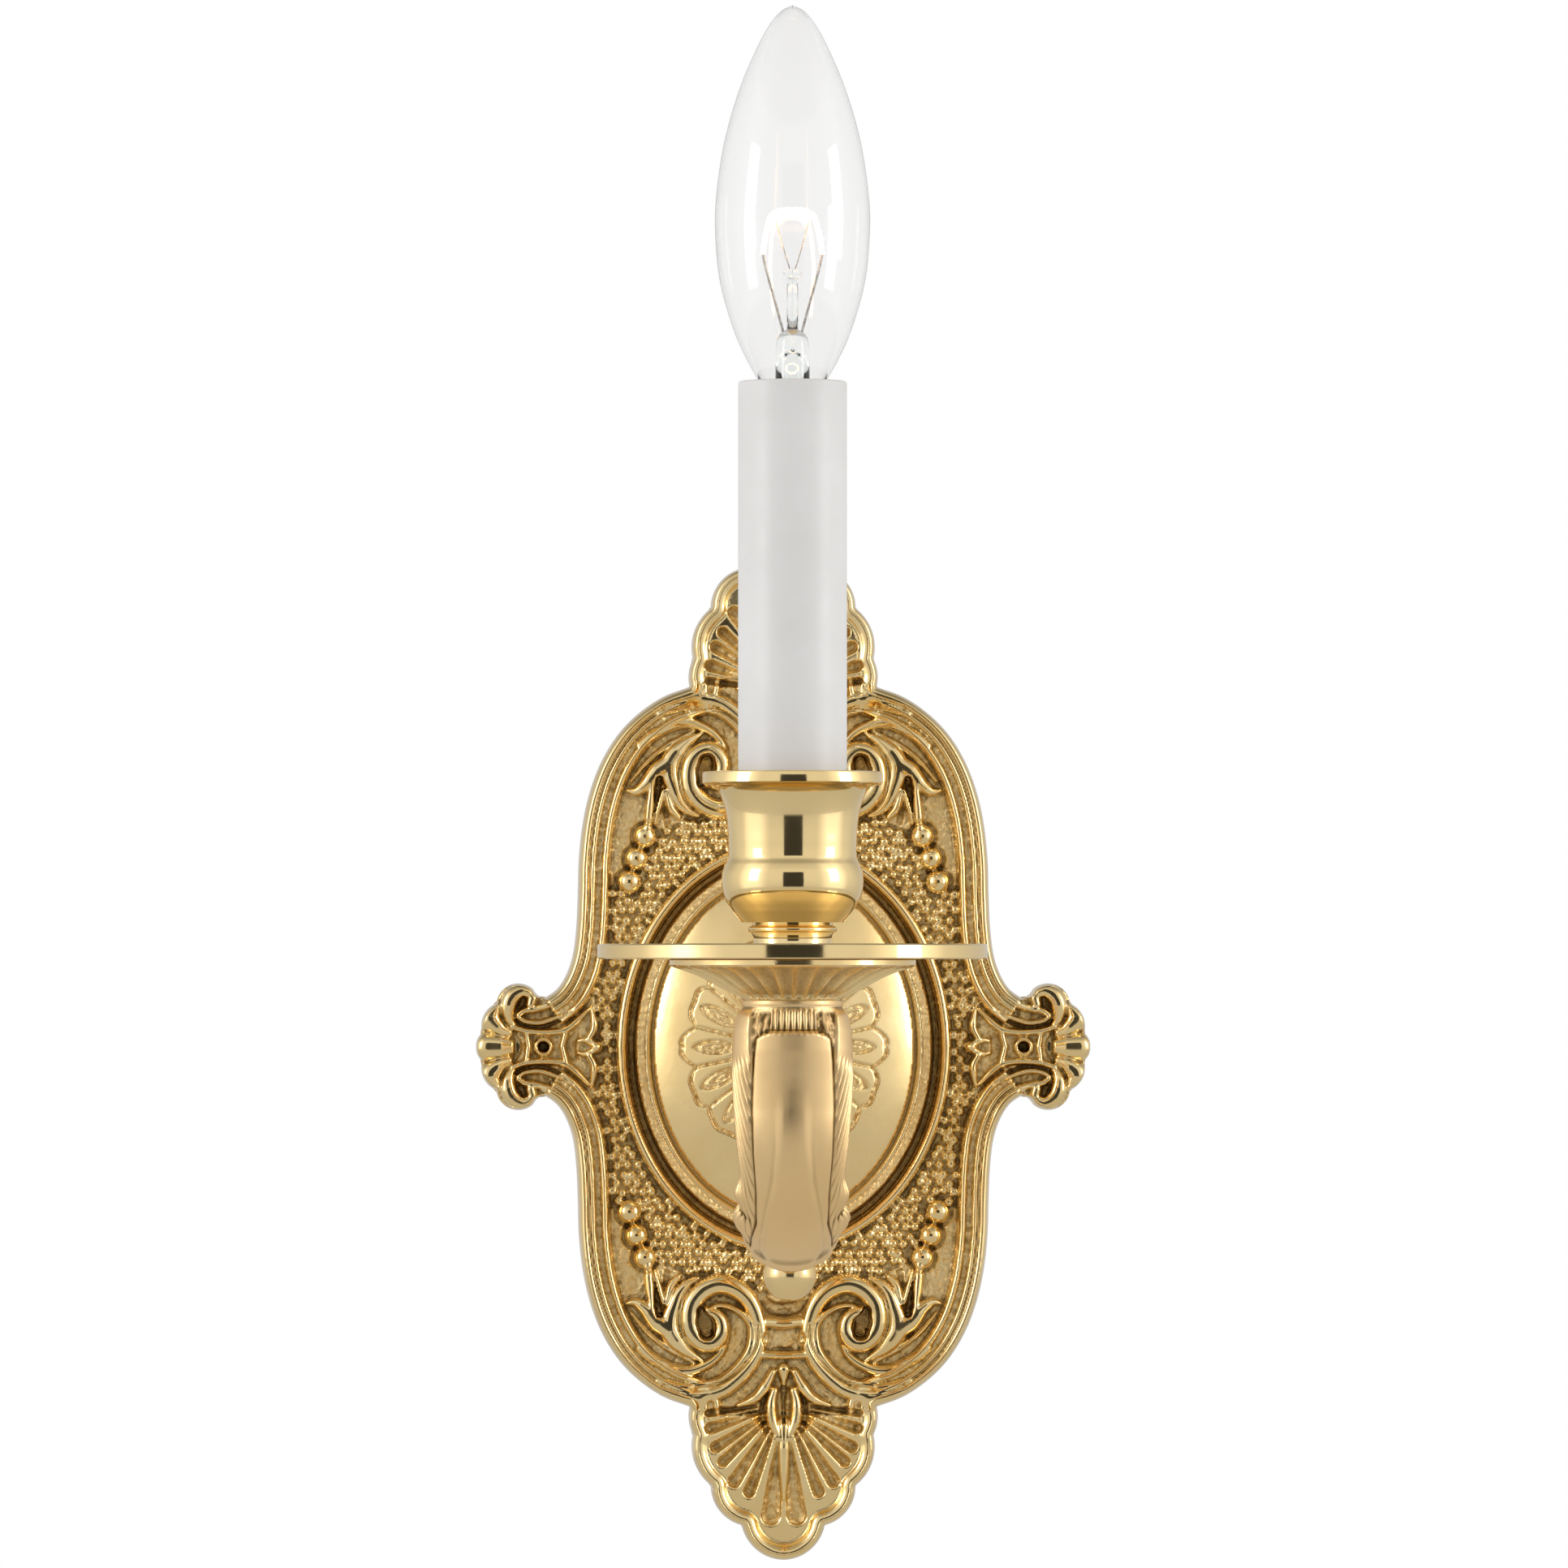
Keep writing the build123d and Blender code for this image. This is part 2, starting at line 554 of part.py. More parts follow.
def supply_lead(side):
    """An insulated lead from a socket terminal, down the candle, through the arm and out of the back nipple."""
    with BuildPart() as lead:
        with BuildLine():
            arm_line(side * LEAD_SIDE, LEAD_START, LEAD_SPREAD[0])
            low = (side * LEAD_SIDE, -REACH, LEAD_SPREAD[0])
            middle = (side * (LEAD_SIDE + TERMINAL_X) / 2, -REACH, sum(LEAD_SPREAD) / 2)
            high = (side * TERMINAL_X, -REACH, LEAD_SPREAD[1])
            TangentArc(low, middle, tangent=(0, 0, 1))
            TangentArc(high, middle, tangent=(0, 0, -1))
            Line(high, (side * TERMINAL_X, -REACH, SOCKET_BASE + TERMINAL_DEPTH - 0.5))
        with BuildSketch(Plane((side * LEAD_SIDE, LEAD_START, 0), z_dir=(0, -1, 0))):
            Circle(LEAD_RADIUS)
        sweep()
    return lead.part


# ---- lamp ---------------------------------------------------------------------------------------------------
BASE_TOP = 133.2
BASE_FOOT = 118.0
BASE_THREAD_HEIGHT = 8.4
CONTACT_THICK = 1.1

NECK_FOOT = 133.4
GLASS_OUTSIDE = [
    (0, LAMP_TOP),
    (8.7, 202.4),
    (13.6, 188.0),
    (LAMP_RADIUS, 169.5),
    (13.9, 153.4),
    (7.2, 137.4),
    (5.6, NECK_FOOT),
]
GLASS_INSIDE = [
    (0, LAMP_TOP - 1.0),
    (8.2, 201.9),
    (13.0, 187.6),
    (LAMP_RADIUS - 0.6, 169.5),
    (13.2, 153.2),
    (6.5, 137.4),
    (4.9, NECK_FOOT),
]
with BuildPart() as lamp_envelope:
    for skin, mode in ((GLASS_OUTSIDE, Mode.ADD), (GLASS_INSIDE, Mode.SUBTRACT)):
        with BuildSketch(CANDLE_SECTION):
            with BuildLine():
                Spline(*skin, tangents=[(1, -0.35), (-0.1, -1)])
                Polyline(skin[-1], (0, NECK_FOOT), skin[0])
            make_face()
        revolve(axis=CANDLE_AXIS, mode=mode)

with BuildPart() as lamp_base:
    with BuildSketch(CANDLE_SECTION):
        with BuildLine():
            Polyline(
                (0, BASE_FOOT),
                (BASE_RADIUS - 0.9, BASE_FOOT),
                (BASE_RADIUS, BASE_FOOT + 0.9),
                (BASE_RADIUS, BASE_TOP - 2.8),
                (6.15, BASE_TOP - 2.0),
                (6.3, BASE_TOP + 0.9),
                (5.85, BASE_TOP + 0.9),
                (5.7, BASE_TOP),
                (0, BASE_TOP),
                close=True,
            )
        make_face()
    revolve(axis=CANDLE_AXIS)
    with BuildLine():
        thread_foot = (0, -REACH, SHELL_BASE + SHELL_THREAD[0] + THREAD_PITCH / 2)
        turns = Helix(THREAD_PITCH, BASE_THREAD_HEIGHT, BASE_THREAD_LINE, center=thread_foot)
    with BuildSketch(Plane(origin=turns @ 0, z_dir=turns % 0)):
        Circle(THREAD_ROUND)
    sweep(path=turns, is_frenet=True)

contact_top = LAMP_TIP + CONTACT_THICK
with BuildPart() as lamp_insulator:
    with BuildSketch(CANDLE_SECTION):
        with BuildLine():
            Polyline((0, BASE_FOOT), (4.4, BASE_FOOT), (2.6, contact_top), (0, contact_top), close=True)
        make_face()
    revolve(axis=CANDLE_AXIS)

with BuildPart() as lamp_contact:
    with BuildSketch(candle_plane(LAMP_TIP)):
        Circle(2.2)
    extrude(amount=CONTACT_THICK)
    chamfer(lamp_contact.edges().sort_by(Axis.Z)[0], length=0.7)

STEM_TOP = 147.2
STEM_ROD = 1.2  # radius of the rod that carries the button
BUTTON_Z = 160.0
BUTTON_RADIUS = 1.9
LEAD_IN_RADIUS = 0.3
LEAD_IN_FOOT = 1.9  # each lead-in's distance from the axis where it leaves the stem
FILAMENT_RADIUS = 0.35
ANCHOR_RADIUS = 0.15
with BuildPart() as lamp_stem:
    with BuildSketch(CANDLE_SECTION):
        with BuildLine():
            Line((3.5, BASE_TOP), (3.4, STEM_TOP - 2.5))
            ThreePointArc((3.4, STEM_TOP - 2.5), (2.6, STEM_TOP - 0.6), (STEM_ROD, STEM_TOP))
            Polyline(
                (STEM_ROD, STEM_TOP),
                (STEM_ROD, BUTTON_Z - 1.6),
                (BUTTON_RADIUS, BUTTON_Z - 1.0),
                (BUTTON_RADIUS, BUTTON_Z - 0.4),
                (1.4, BUTTON_Z),
                (0, BUTTON_Z),
                (0, STEM_TOP - 4.0),
                (2.4, STEM_TOP - 6.0),
                (2.7, BASE_TOP),
                (3.5, BASE_TOP),
            )
        make_face()
    revolve(axis=CANDLE_AXIS)

FILAMENT_Z = 162.0
FILAMENT_TOP = 172.2
FILAMENT_HALF = 6.4
FILAMENT_CORNER = 4.4


def rod(points, radius, start_z_dir):
    """A round wire along straight runs through the points."""
    with BuildPart() as wire:
        with BuildLine():
            Polyline(*points)
        with BuildSketch(Plane(points[0], z_dir=start_z_dir)):
            Circle(radius)
        sweep(transition=Transition.ROUND)
    return wire.part


def lead_in(side):
    """A lead-in wire from the stem's press to its end of the filament."""
    foot = Vector(side * LEAD_IN_FOOT, -REACH, STEM_TOP + 0.1)
    tip = Vector(side * FILAMENT_HALF, -REACH, FILAMENT_Z)
    return rod([foot, tip], LEAD_IN_RADIUS, tip - foot)


lamp_lead_ins = Compound(children=[lead_in(1), lead_in(-1)])

filament_points = [
    Vector(-FILAMENT_HALF, -REACH, FILAMENT_Z + 0.5),
    Vector(-FILAMENT_CORNER, -REACH, FILAMENT_TOP),
    Vector(FILAMENT_CORNER, -REACH, FILAMENT_TOP),
    Vector(FILAMENT_HALF, -REACH, FILAMENT_Z + 0.5),
]
lamp_filament = rod(filament_points, FILAMENT_RADIUS, filament_points[1] - filament_points[0])


def anchor(side):
    """A support wire from the stem's button to a corner of the filament."""
    foot = Vector(side * 0.5, -REACH, BUTTON_Z + 0.1)
    tip = Vector(side * (FILAMENT_CORNER - 0.4), -REACH, FILAMENT_TOP - 0.6)
    return rod([foot, tip], ANCHOR_RADIUS, tip - foot)


lamp_anchors = Compound(children=[anchor(1), anchor(-1)])

# ---- export -------------------------------------------------------------------------------------------------
pieces = {
    "back_plate": back_plate.part,
    "mounting_strap": mounting_strap.part,
    "ground_screw": ground_screw.part,
    "back_nipple": back_nipple.part,
    "strap_nut": strap_nut,
    "plate_nut": plate_nut,
    "plate_washer": plate_washer.part,
    "arm": arm.part,
    "fluted_cup": fluted_cup.part,
    "drip_pan": drip_pan.part,
    "neck_ring": neck_ring.part,
    "candle_cup": candle_cup.part,
    "candle_nipple": candle_nipple.part,
    "cup_nut": cup_nut.part,
    "candle_sleeve": candle_sleeve.part,
    "socket_bracket": socket_bracket.part,
    "socket_body": socket_body.part,
    "bracket_rivet": bracket_rivet.part,
    "socket_shell": socket_shell.part,
    "centre_contact": centre_contact.part,
    "socket_liner": socket_liner.part,
    "hot_lead": supply_lead(1),
    "neutral_lead": supply_lead(-1),
    "lamp_envelope": lamp_envelope.part,
    "lamp_base": lamp_base.part,
    "lamp_insulator": lamp_insulator.part,
    "lamp_contact": lamp_contact.part,
    "lamp_stem": lamp_stem.part,
    "lamp_lead_ins": lamp_lead_ins,
    "lamp_filament": lamp_filament,
    "lamp_anchors": lamp_anchors,
}
os.makedirs("parts", exist_ok=True)
for name, piece in pieces.items():
    piece.label = name
    export_step(piece, f"parts/{name}.step")
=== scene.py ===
"""Looks of the candle wall sconce. Shapes are in millimetres, made metres as each mesh is built."""

import bpy
import numpy as np
from math import atan2, ceil, cos, pi, radians, sin, sqrt
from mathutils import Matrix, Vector


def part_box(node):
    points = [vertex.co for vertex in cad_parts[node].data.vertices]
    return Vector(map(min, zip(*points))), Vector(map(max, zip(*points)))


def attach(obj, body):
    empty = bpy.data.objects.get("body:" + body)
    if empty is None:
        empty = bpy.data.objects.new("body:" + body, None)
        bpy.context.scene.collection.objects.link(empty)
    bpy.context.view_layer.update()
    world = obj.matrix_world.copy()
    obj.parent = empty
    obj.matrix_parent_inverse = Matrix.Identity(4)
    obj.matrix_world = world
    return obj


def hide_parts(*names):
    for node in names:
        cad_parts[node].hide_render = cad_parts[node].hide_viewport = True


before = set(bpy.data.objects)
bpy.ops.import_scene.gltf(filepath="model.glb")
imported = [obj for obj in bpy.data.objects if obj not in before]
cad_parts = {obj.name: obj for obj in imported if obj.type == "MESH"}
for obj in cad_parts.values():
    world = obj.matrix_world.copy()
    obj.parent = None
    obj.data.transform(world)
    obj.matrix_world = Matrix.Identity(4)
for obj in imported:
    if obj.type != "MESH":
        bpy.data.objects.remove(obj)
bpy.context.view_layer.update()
MM = 0.001
rng = np.random.default_rng(7)
ARC_STEP = 0.5  # between the points of an arc

# ---- places taken from the frame -----------------------------------------------------------------


def span(node):
    """A CAD node's lowest and highest corner in millimetres."""
    low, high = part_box(node)
    return np.array(low) / MM, np.array(high) / MM


SLEEVE_LOW, SLEEVE_HIGH = span("candle_sleeve")
CUP_LOW, CUP_HIGH = span("candle_cup")
PAN_LOW, PAN_HIGH = span("drip_pan")
FLUTED_LOW, FLUTED_HIGH = span("fluted_cup")
RING_LOW, RING_HIGH = span("neck_ring")
GLASS_LOW, GLASS_HIGH = span("lamp_envelope")
PLATE_LOW, PLATE_HIGH = span("back_plate")
ARM_LOW, ARM_HIGH = span("arm")
STEM_LOW, STEM_HIGH = span("lamp_stem")
REACH = -(SLEEVE_LOW[1] + SLEEVE_HIGH[1]) / 2  # wall to candle axis
AXIS = np.array([0.0, -REACH, 0.0])
HALF_WIDTH = PLATE_HIGH[0]
HALF_HEIGHT = PLATE_HIGH[2]

# ---- mesh helpers --------------------------------------------------------------------------------


def smooth_line(points, per_span=8):
    """A Catmull-Rom curve through the points, as an array."""
    p = np.array(points, float)
    p = np.vstack([2 * p[0] - p[1], p, 2 * p[-1] - p[-2]])
    steps = np.linspace(0, 1, per_span, endpoint=False)[:, None]
    out = []
    for a, b, c, d in zip(p, p[1:], p[2:], p[3:]):
        straight = 2 * b + (c - a) * steps
        square = (2 * a - 5 * b + 4 * c - d) * steps**2
        cube = (3 * b - a - 3 * c + d) * steps**3
        out.append(0.5 * (straight + square + cube))
    return np.vstack(out + [p[-2]])


def above(level, *points):
    """Profile points whose heights are counted from a level."""
    return [(radius, level + height) for radius, height in points]


def run_lengths(line):
    """How far along a line each of its points is."""
    return np.r_[0, np.cumsum(np.linalg.norm(np.diff(line, axis=0), axis=1))]


def resample(line, at, places):
    """A line's values at some places, given where its own points are."""
    return np.column_stack([np.interp(at, places, column) for column in line.T])


def arc(start, middle, end):
    """Points on the circle arc through three points of a plane."""
    (ax, ay), (bx, by), (cx, cy) = start, middle, end
    d = 2 * (ax * (by - cy) + bx * (cy - ay) + cx * (ay - by))
    ux = ((ax**2 + ay**2) * (by - cy) + (bx**2 + by**2) * (cy - ay) + (cx**2 + cy**2) * (ay - by)) / d
    uy = ((ax**2 + ay**2) * (cx - bx) + (bx**2 + by**2) * (ax - cx) + (cx**2 + cy**2) * (bx - ax)) / d
    r = sqrt((ax - ux) ** 2 + (ay - uy) ** 2)
    first = atan2(ay - uy, ax - ux)
    through = (atan2(by - uy, bx - ux) - first) % (2 * pi)
    sweep = (atan2(cy - uy, cx - ux) - first) % (2 * pi)
    if through > sweep:
        sweep -= 2 * pi
    turns = first + np.linspace(0, sweep, max(3, ceil(abs(sweep) * r / ARC_STEP)))
    return np.column_stack([ux + r * np.cos(turns), uy + r * np.sin(turns)])


def make_piece(name, vertices, faces, body, material, replaces=(), slot=None, sharp=None, attributes=None):
    """A mesh piece from millimetre vertices, smooth shaded, riding on a body."""
    mesh = bpy.data.meshes.new(name)
    mesh.from_pydata((np.asarray(vertices) * MM).tolist(), [], [list(map(int, f)) for f in faces])
    mesh.polygons.foreach_set("use_smooth", [True] * len(mesh.polygons))
    if sharp is not None:
        mesh.set_sharp_from_angle(angle=radians(sharp))
    for key, values in (attributes or {}).items():
        mesh.attributes.new(key, "FLOAT", "POINT").data.foreach_set("value", np.asarray(values, np.float32))
    mesh.update()
    piece = bpy.data.objects.new(name, mesh)
    bpy.context.scene.collection.objects.link(piece)
    mesh.materials.append(material)
    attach(piece, body)
    if replaces:
        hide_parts(*replaces)
    return piece


def cast_piece(name, vertices, faces, node, ground, painted_shade, material=None):
    """A brass casting's piece, with where it is pricked and how much shade is painted where it lies low."""
    make_piece(
        name, vertices, faces, "fixture", material or CAST,
        replaces=(node,), slot="cast_brass", attributes={"ground": ground, "painted_shade": painted_shade},
    )


def grid_faces(rows, columns, wrap=False):
    """Quads of a grid of vertices stored row by row."""
    i, j = np.meshgrid(np.arange(rows - 1), np.arange(columns if wrap else columns - 1), indexing="ij")
    k = (j + 1) % columns
    quads = np.stack([i * columns + j, i * columns + k, (i + 1) * columns + k, (i + 1) * columns + j], -1)
    return quads.reshape(-1, 4)


def turned(name, profile, body, material, centre=AXIS, segments=192, wave=None, **kinds):
    """A lathe-turned piece from (radius, height) points: a closed ring, unless it ends on the axis."""
    profile = np.array(profile, float)
    turn = np.linspace(0, 2 * pi, segments, endpoint=False)
    radius = np.repeat(profile[:, :1], segments, 1)
    if wave is not None:
        radius = wave(radius, profile[:, 1][:, None], turn[None, :])
    height = np.repeat(profile[:, 1:], segments, 1)
    vertices = np.stack([radius * np.cos(turn), radius * np.sin(turn), height], -1) + centre
    faces = grid_faces(len(profile), segments, wrap=True)
    return make_piece(name, vertices.reshape(-1, 3), faces, body, material, **kinds)


# ---- materials -----------------------------------------------------------------------------------


class Nodes:
    """A short way to write the nodes of a material or of the world."""

    def __init__(self, owner, shader, coordinates):
        self.owner = owner
        owner.use_nodes = True
        self.tree = owner.node_tree
        self.shader = self.tree.nodes[shader]
        self.position = self.add("ShaderNodeTexCoord").outputs[coordinates]

    def add(self, kind, inputs=None, **settings):
        node = self.tree.nodes.new(kind)
        for key, value in settings.items():
            setattr(node, key, value)
        for key, value in (inputs or {}).items():
            self.feed(node.inputs[key], value)
        return node

    def feed(self, socket, value):
        if isinstance(value, bpy.types.NodeSocket):
            self.tree.links.new(value, socket)
        else:
            socket.default_value = value

    def set(self, **values):
        for key, value in values.items():
            self.feed(self.shader.inputs[key.replace("_", " ")], value)

    def noise(self, scale, detail=4.0, stretch=None):
        where = self.position
        if stretch:
            where = self.add("ShaderNodeMapping", {"Vector": where, "Scale": stretch}).outputs[0]
        inputs = {"Vector": where, "Scale": scale, "Detail": detail, "Roughness": 0.55}
        return self.add("ShaderNodeTexNoise", inputs).outputs["Fac"]

    def cells(self, scale):
        return self.add("ShaderNodeTexVoronoi", {"Vector": self.position, "Scale": scale}).outputs["Distance"]

    def attribute(self, name):
        return self.add("ShaderNodeAttribute", attribute_name=name).outputs["Fac"]

    def map(self, value, low, high, to_low=0.0, to_high=1.0, **settings):
        inputs = {"Value": value, "From Min": low, "From Max": high, "To Min": to_low, "To Max": to_high}
        return self.add("ShaderNodeMapRange", inputs, **settings).outputs[0]

    def math(self, operation, a, b=0.0):
        node = self.add("ShaderNodeMath", operation=operation)
        self.feed(node.inputs[0], a)
        self.feed(node.inputs[1], b)
        return node.outputs[0]

    def mix(self, factor, a, b):
        node = self.add("ShaderNodeMix", data_type="RGBA")
        self.feed(node.inputs[0], factor)
        self.feed(node.inputs[6], a)
        self.feed(node.inputs[7], b)
        return node.outputs[2]

    def bump(self, height, strength, distance=0.0002, normal=None):
        inputs = {"Height": height, "Strength": strength, "Distance": distance}
        if normal is not None:
            inputs["Normal"] = normal
        return self.add("ShaderNodeBump", inputs).outputs[0]


def new_material(name):
    return Nodes(bpy.data.materials.new(name), "Principled BSDF", "Object")


BRIGHT = (0.95, 0.735, 0.38, 1)
WARM = (0.89, 0.655, 0.30, 1)
# dark brown painted into the casting's low places as shade
SHADE_BROWN = (0.17, 0.105, 0.035, 1)


def cast_brass(name, satin):
    """Polished casting: plain metal on the high places; sand-cast grain, and dark brown painted shade, in the
    low ones.
    """
    m = new_material(name)
    ground = m.attribute("ground")
    painted_shade = m.attribute("painted_shade")
    tone = m.map(m.noise(60.0, 3.0), 0.35, 0.7)
    metal = m.mix(tone, WARM, BRIGHT)
    # painted shade: the colour goes towards dark brown as far as a place lies below its surroundings, broken
    # up by noise
    low = m.math("MULTIPLY", m.map(painted_shade, 0.2, 1.6), m.map(m.noise(900.0, 4.0), 0.3, 0.6, 0.5, 0.9))
    m.set(Base_Color=m.mix(low, metal, SHADE_BROWN), Metallic=1.0)
    smudge = m.map(m.noise(140.0, 5.0), 0.3, 0.75, 0.07 + satin, 0.2 + satin)
    rough = m.math("ADD", smudge, m.math("MULTIPLY", ground, 0.2))
    m.set(Roughness=m.math("ADD", rough, m.math("MULTIPLY", low, 0.18)))
    ripple = m.bump(m.noise(220.0, 3.0), 0.12, 0.0004)
    grain = m.math("MULTIPLY", m.noise(2600.0, 3.0), ground)
    m.set(Normal=m.bump(grain, 0.75, 0.0003, ripple))
    return m.owner


def arm_brass():
    """The arm's casting: satin on its tongue, grain where its leaves are cut, and dark brown painted shade in
    its hollows.
    """
    m = new_material("arm_brass")
    ground = m.attribute("ground")
    painted_shade = m.attribute("painted_shade")
    tone = m.map(m.noise(45.0, 3.0), 0.35, 0.7)
    metal = m.mix(tone, (0.89, 0.62, 0.30, 1), (0.96, 0.70, 0.37, 1))
    # painted shade: dark brown where the arm's surface lies below its surroundings
    low = m.map(painted_shade, 0.05, 0.45)
    m.set(Base_Color=m.mix(low, metal, SHADE_BROWN), Metallic=1.0)
    streak = m.noise(260.0, 4.0, stretch=(1, 1, 0.2))
    smudge = m.map(streak, 0.3, 0.75, 0.30, 0.44)
    m.set(Roughness=m.math("ADD", smudge, m.math("MULTIPLY", ground, 0.12)))
    ripple = m.bump(m.noise(160.0, 4.0), 0.1, 0.0004)
    m.set(Normal=m.bump(m.math("MULTIPLY", m.noise(2400.0, 3.0), ground), 0.5, 0.0003, ripple))
    return m.owner


def turned_brass():
    """Lathe-turned and buffed brass with faint rings and fine scratches."""
    m = new_material("turned_brass")
    tone = m.map(m.noise(35.0, 2.0), 0.35, 0.7)
    m.set(Base_Color=m.mix(tone, (0.90, 0.68, 0.325, 1), (0.95, 0.74, 0.385, 1)), Metallic=1.0)
    rings = m.noise(900.0, 2.0, stretch=(0.02, 0.02, 1.0))
    smudge = m.noise(70.0, 5.0)
    m.set(Roughness=m.math("ADD", m.map(smudge, 0.3, 0.75, 0.05, 0.12), m.map(rings, 0.3, 0.7, 0.0, 0.03)))
    m.set(Normal=m.bump(rings, 0.05, 0.0001))
    return m.owner


def plated_steel():
    """Zinc-plated steel with spangle and small scuffs."""
    m = new_material("plated_steel")
    spangle = m.cells(420.0)
    worn = m.map(m.noise(300.0, 6.0), 0.5, 0.72)
    metal = m.mix(m.map(spangle, 0.0, 0.9), (0.58, 0.58, 0.55, 1), (0.7, 0.69, 0.64, 1))
    m.set(Base_Color=m.mix(worn, metal, (0.36, 0.34, 0.3, 1)), Metallic=1.0)
    m.set(Roughness=m.map(m.noise(180.0, 5.0), 0.3, 0.7, 0.25, 0.45))
    m.set(Normal=m.bump(m.noise(1400.0, 4.0), 0.15, 0.0001))
    return m.owner


def sleeve_white():
    """White satin plastic with a slight sheen and soft unevenness."""
    m = new_material("sleeve_white")
    tone = m.map(m.noise(45.0, 3.0), 0.3, 0.7)
    m.set(Base_Color=m.mix(tone, (0.80, 0.79, 0.78, 1), (0.86, 0.855, 0.85, 1)))
    m.set(Roughness=m.map(m.noise(220.0, 4.0), 0.3, 0.7, 0.34, 0.46), IOR=1.49)
    m.set(Subsurface_Weight=0.12, Subsurface_Radius=(0.004, 0.0035, 0.003))
    m.set(Normal=m.bump(m.noise(500.0, 3.0, stretch=(1, 1, 0.15)), 0.04, 0.0002))
    return m.owner


def mottled(name, low, high, tone, rough, bump=None, metallic=0.0, spread=0.35):
    """A small part's material, wandering between two colours.

    tone is the noise scale of the colour, rough the scale, detail and range of the roughness, and bump the
    scale, strength and distance of the bumps.
    """
    m = new_material(name)
    m.set(Base_Color=m.mix(m.map(m.noise(tone), spread, 0.7), low, high), Metallic=metallic)
    scale, detail, smoothest, roughest = rough
    m.set(Roughness=m.map(m.noise(scale, detail), 0.3, 0.7, smoothest, roughest))
    if bump:
        bump_scale, strength, distance = bump
        m.set(Normal=m.bump(m.noise(bump_scale), strength, distance))
    return m.owner


def liner_paper():
    """Brown fibre paper."""
    m = new_material("liner_paper")
    fibre = m.noise(700.0, 5.0, stretch=(1, 1, 0.25))
    m.set(Base_Color=m.mix(m.map(fibre, 0.3, 0.7), (0.36, 0.26, 0.14, 1), (0.55, 0.43, 0.27, 1)))
    m.set(Roughness=m.map(fibre, 0.3, 0.7, 0.6, 0.8), Normal=m.bump(fibre, 0.3, 0.0002))
    return m.owner


def clear_glass(name, tint, seed_scale):
    """Blown glass with faint waves."""
    m = new_material(name)
    m.set(Base_Color=tint, Roughness=0.0, IOR=1.48, Transmission_Weight=1.0)
    m.set(Normal=m.bump(m.noise(seed_scale, 2.0), 0.04, 0.0003))
    return m.owner


def filament_glow():
    """A coil at white heat, hotter in some places than others."""
    m = new_material("filament_glow")
    heat = m.map(m.noise(500.0, 3.0), 0.3, 0.7)
    m.set(Base_Color=(0.9, 0.6, 0.3, 1), Roughness=0.5)
    m.set(Emission_Color=m.mix(heat, (1.0, 0.50, 0.16, 1), (1.0, 0.78, 0.44, 1)), Emission_Strength=30.0)
    return m.owner


CAST = cast_brass("cast_brass", 0.0)
DOME_CAST = cast_brass("satin_cast_brass", 0.13)
ARM_CAST = arm_brass()
TURNED = turned_brass()
STEEL = plated_steel()
WHITE = sleeve_white()
GLASS = clear_glass("lamp_glass", (0.955, 0.953, 0.95, 1), 60.0)
STEM_GLASS = clear_glass("stem_glass", (0.96, 0.98, 0.97, 1), 300.0)
ROLLED = mottled(
    "rolled_brass", (0.6, 0.43, 0.2, 1), (0.8, 0.62, 0.34, 1), 200.0,
    rough=(500.0, 5.0, 0.15, 0.35), bump=(900.0, 0.1, 0.0001), metallic=1.0,
)
WIRE = mottled(
    "nickel_wire", (0.3, 0.28, 0.26, 1), (0.6, 0.57, 0.52, 1), 900.0,
    rough=(1500.0, 4.0, 0.2, 0.4), bump=(2500.0, 0.1, 0.0001), metallic=1.0,
)
PHENOLIC = mottled(
    "phenolic", (0.02, 0.018, 0.016, 1), (0.06, 0.05, 0.045, 1), 500.0,
    rough=(260.0, 5.0, 0.25, 0.5), bump=(900.0, 0.1, 0.0002), spread=0.4,
)
LEAD_COAT = {"tone": 400.0, "rough": (600.0, 3.0, 0.4, 0.6), "bump": (1500.0, 0.1, 0.0001)}
BLACK_LEAD = mottled("lead_black", (0.01, 0.01, 0.01, 1), (0.04, 0.04, 0.04, 1), **LEAD_COAT)
WHITE_LEAD = mottled("lead_white", (0.6, 0.59, 0.56, 1), (0.78, 0.77, 0.74, 1), **LEAD_COAT)
BLACK_GLASS = mottled(
    "black_glass", (0.015, 0.015, 0.018, 1), (0.05, 0.05, 0.055, 1), 400.0, rough=(700.0, 4.0, 0.08, 0.2)
)
SOLDER = mottled(
    "soft_solder", (0.4, 0.4, 0.4, 1), (0.68, 0.68, 0.67, 1), 800.0,
    rough=(900.0, 5.0, 0.3, 0.5), bump=(700.0, 0.3, 0.0002), metallic=1.0,
)
GLOW = filament_glow()

# ---- back plate: outline -------------------------------------------------------------------------
# One quarter of the plate, x and z both positive, from the side finial's tip round to the shell's tip.

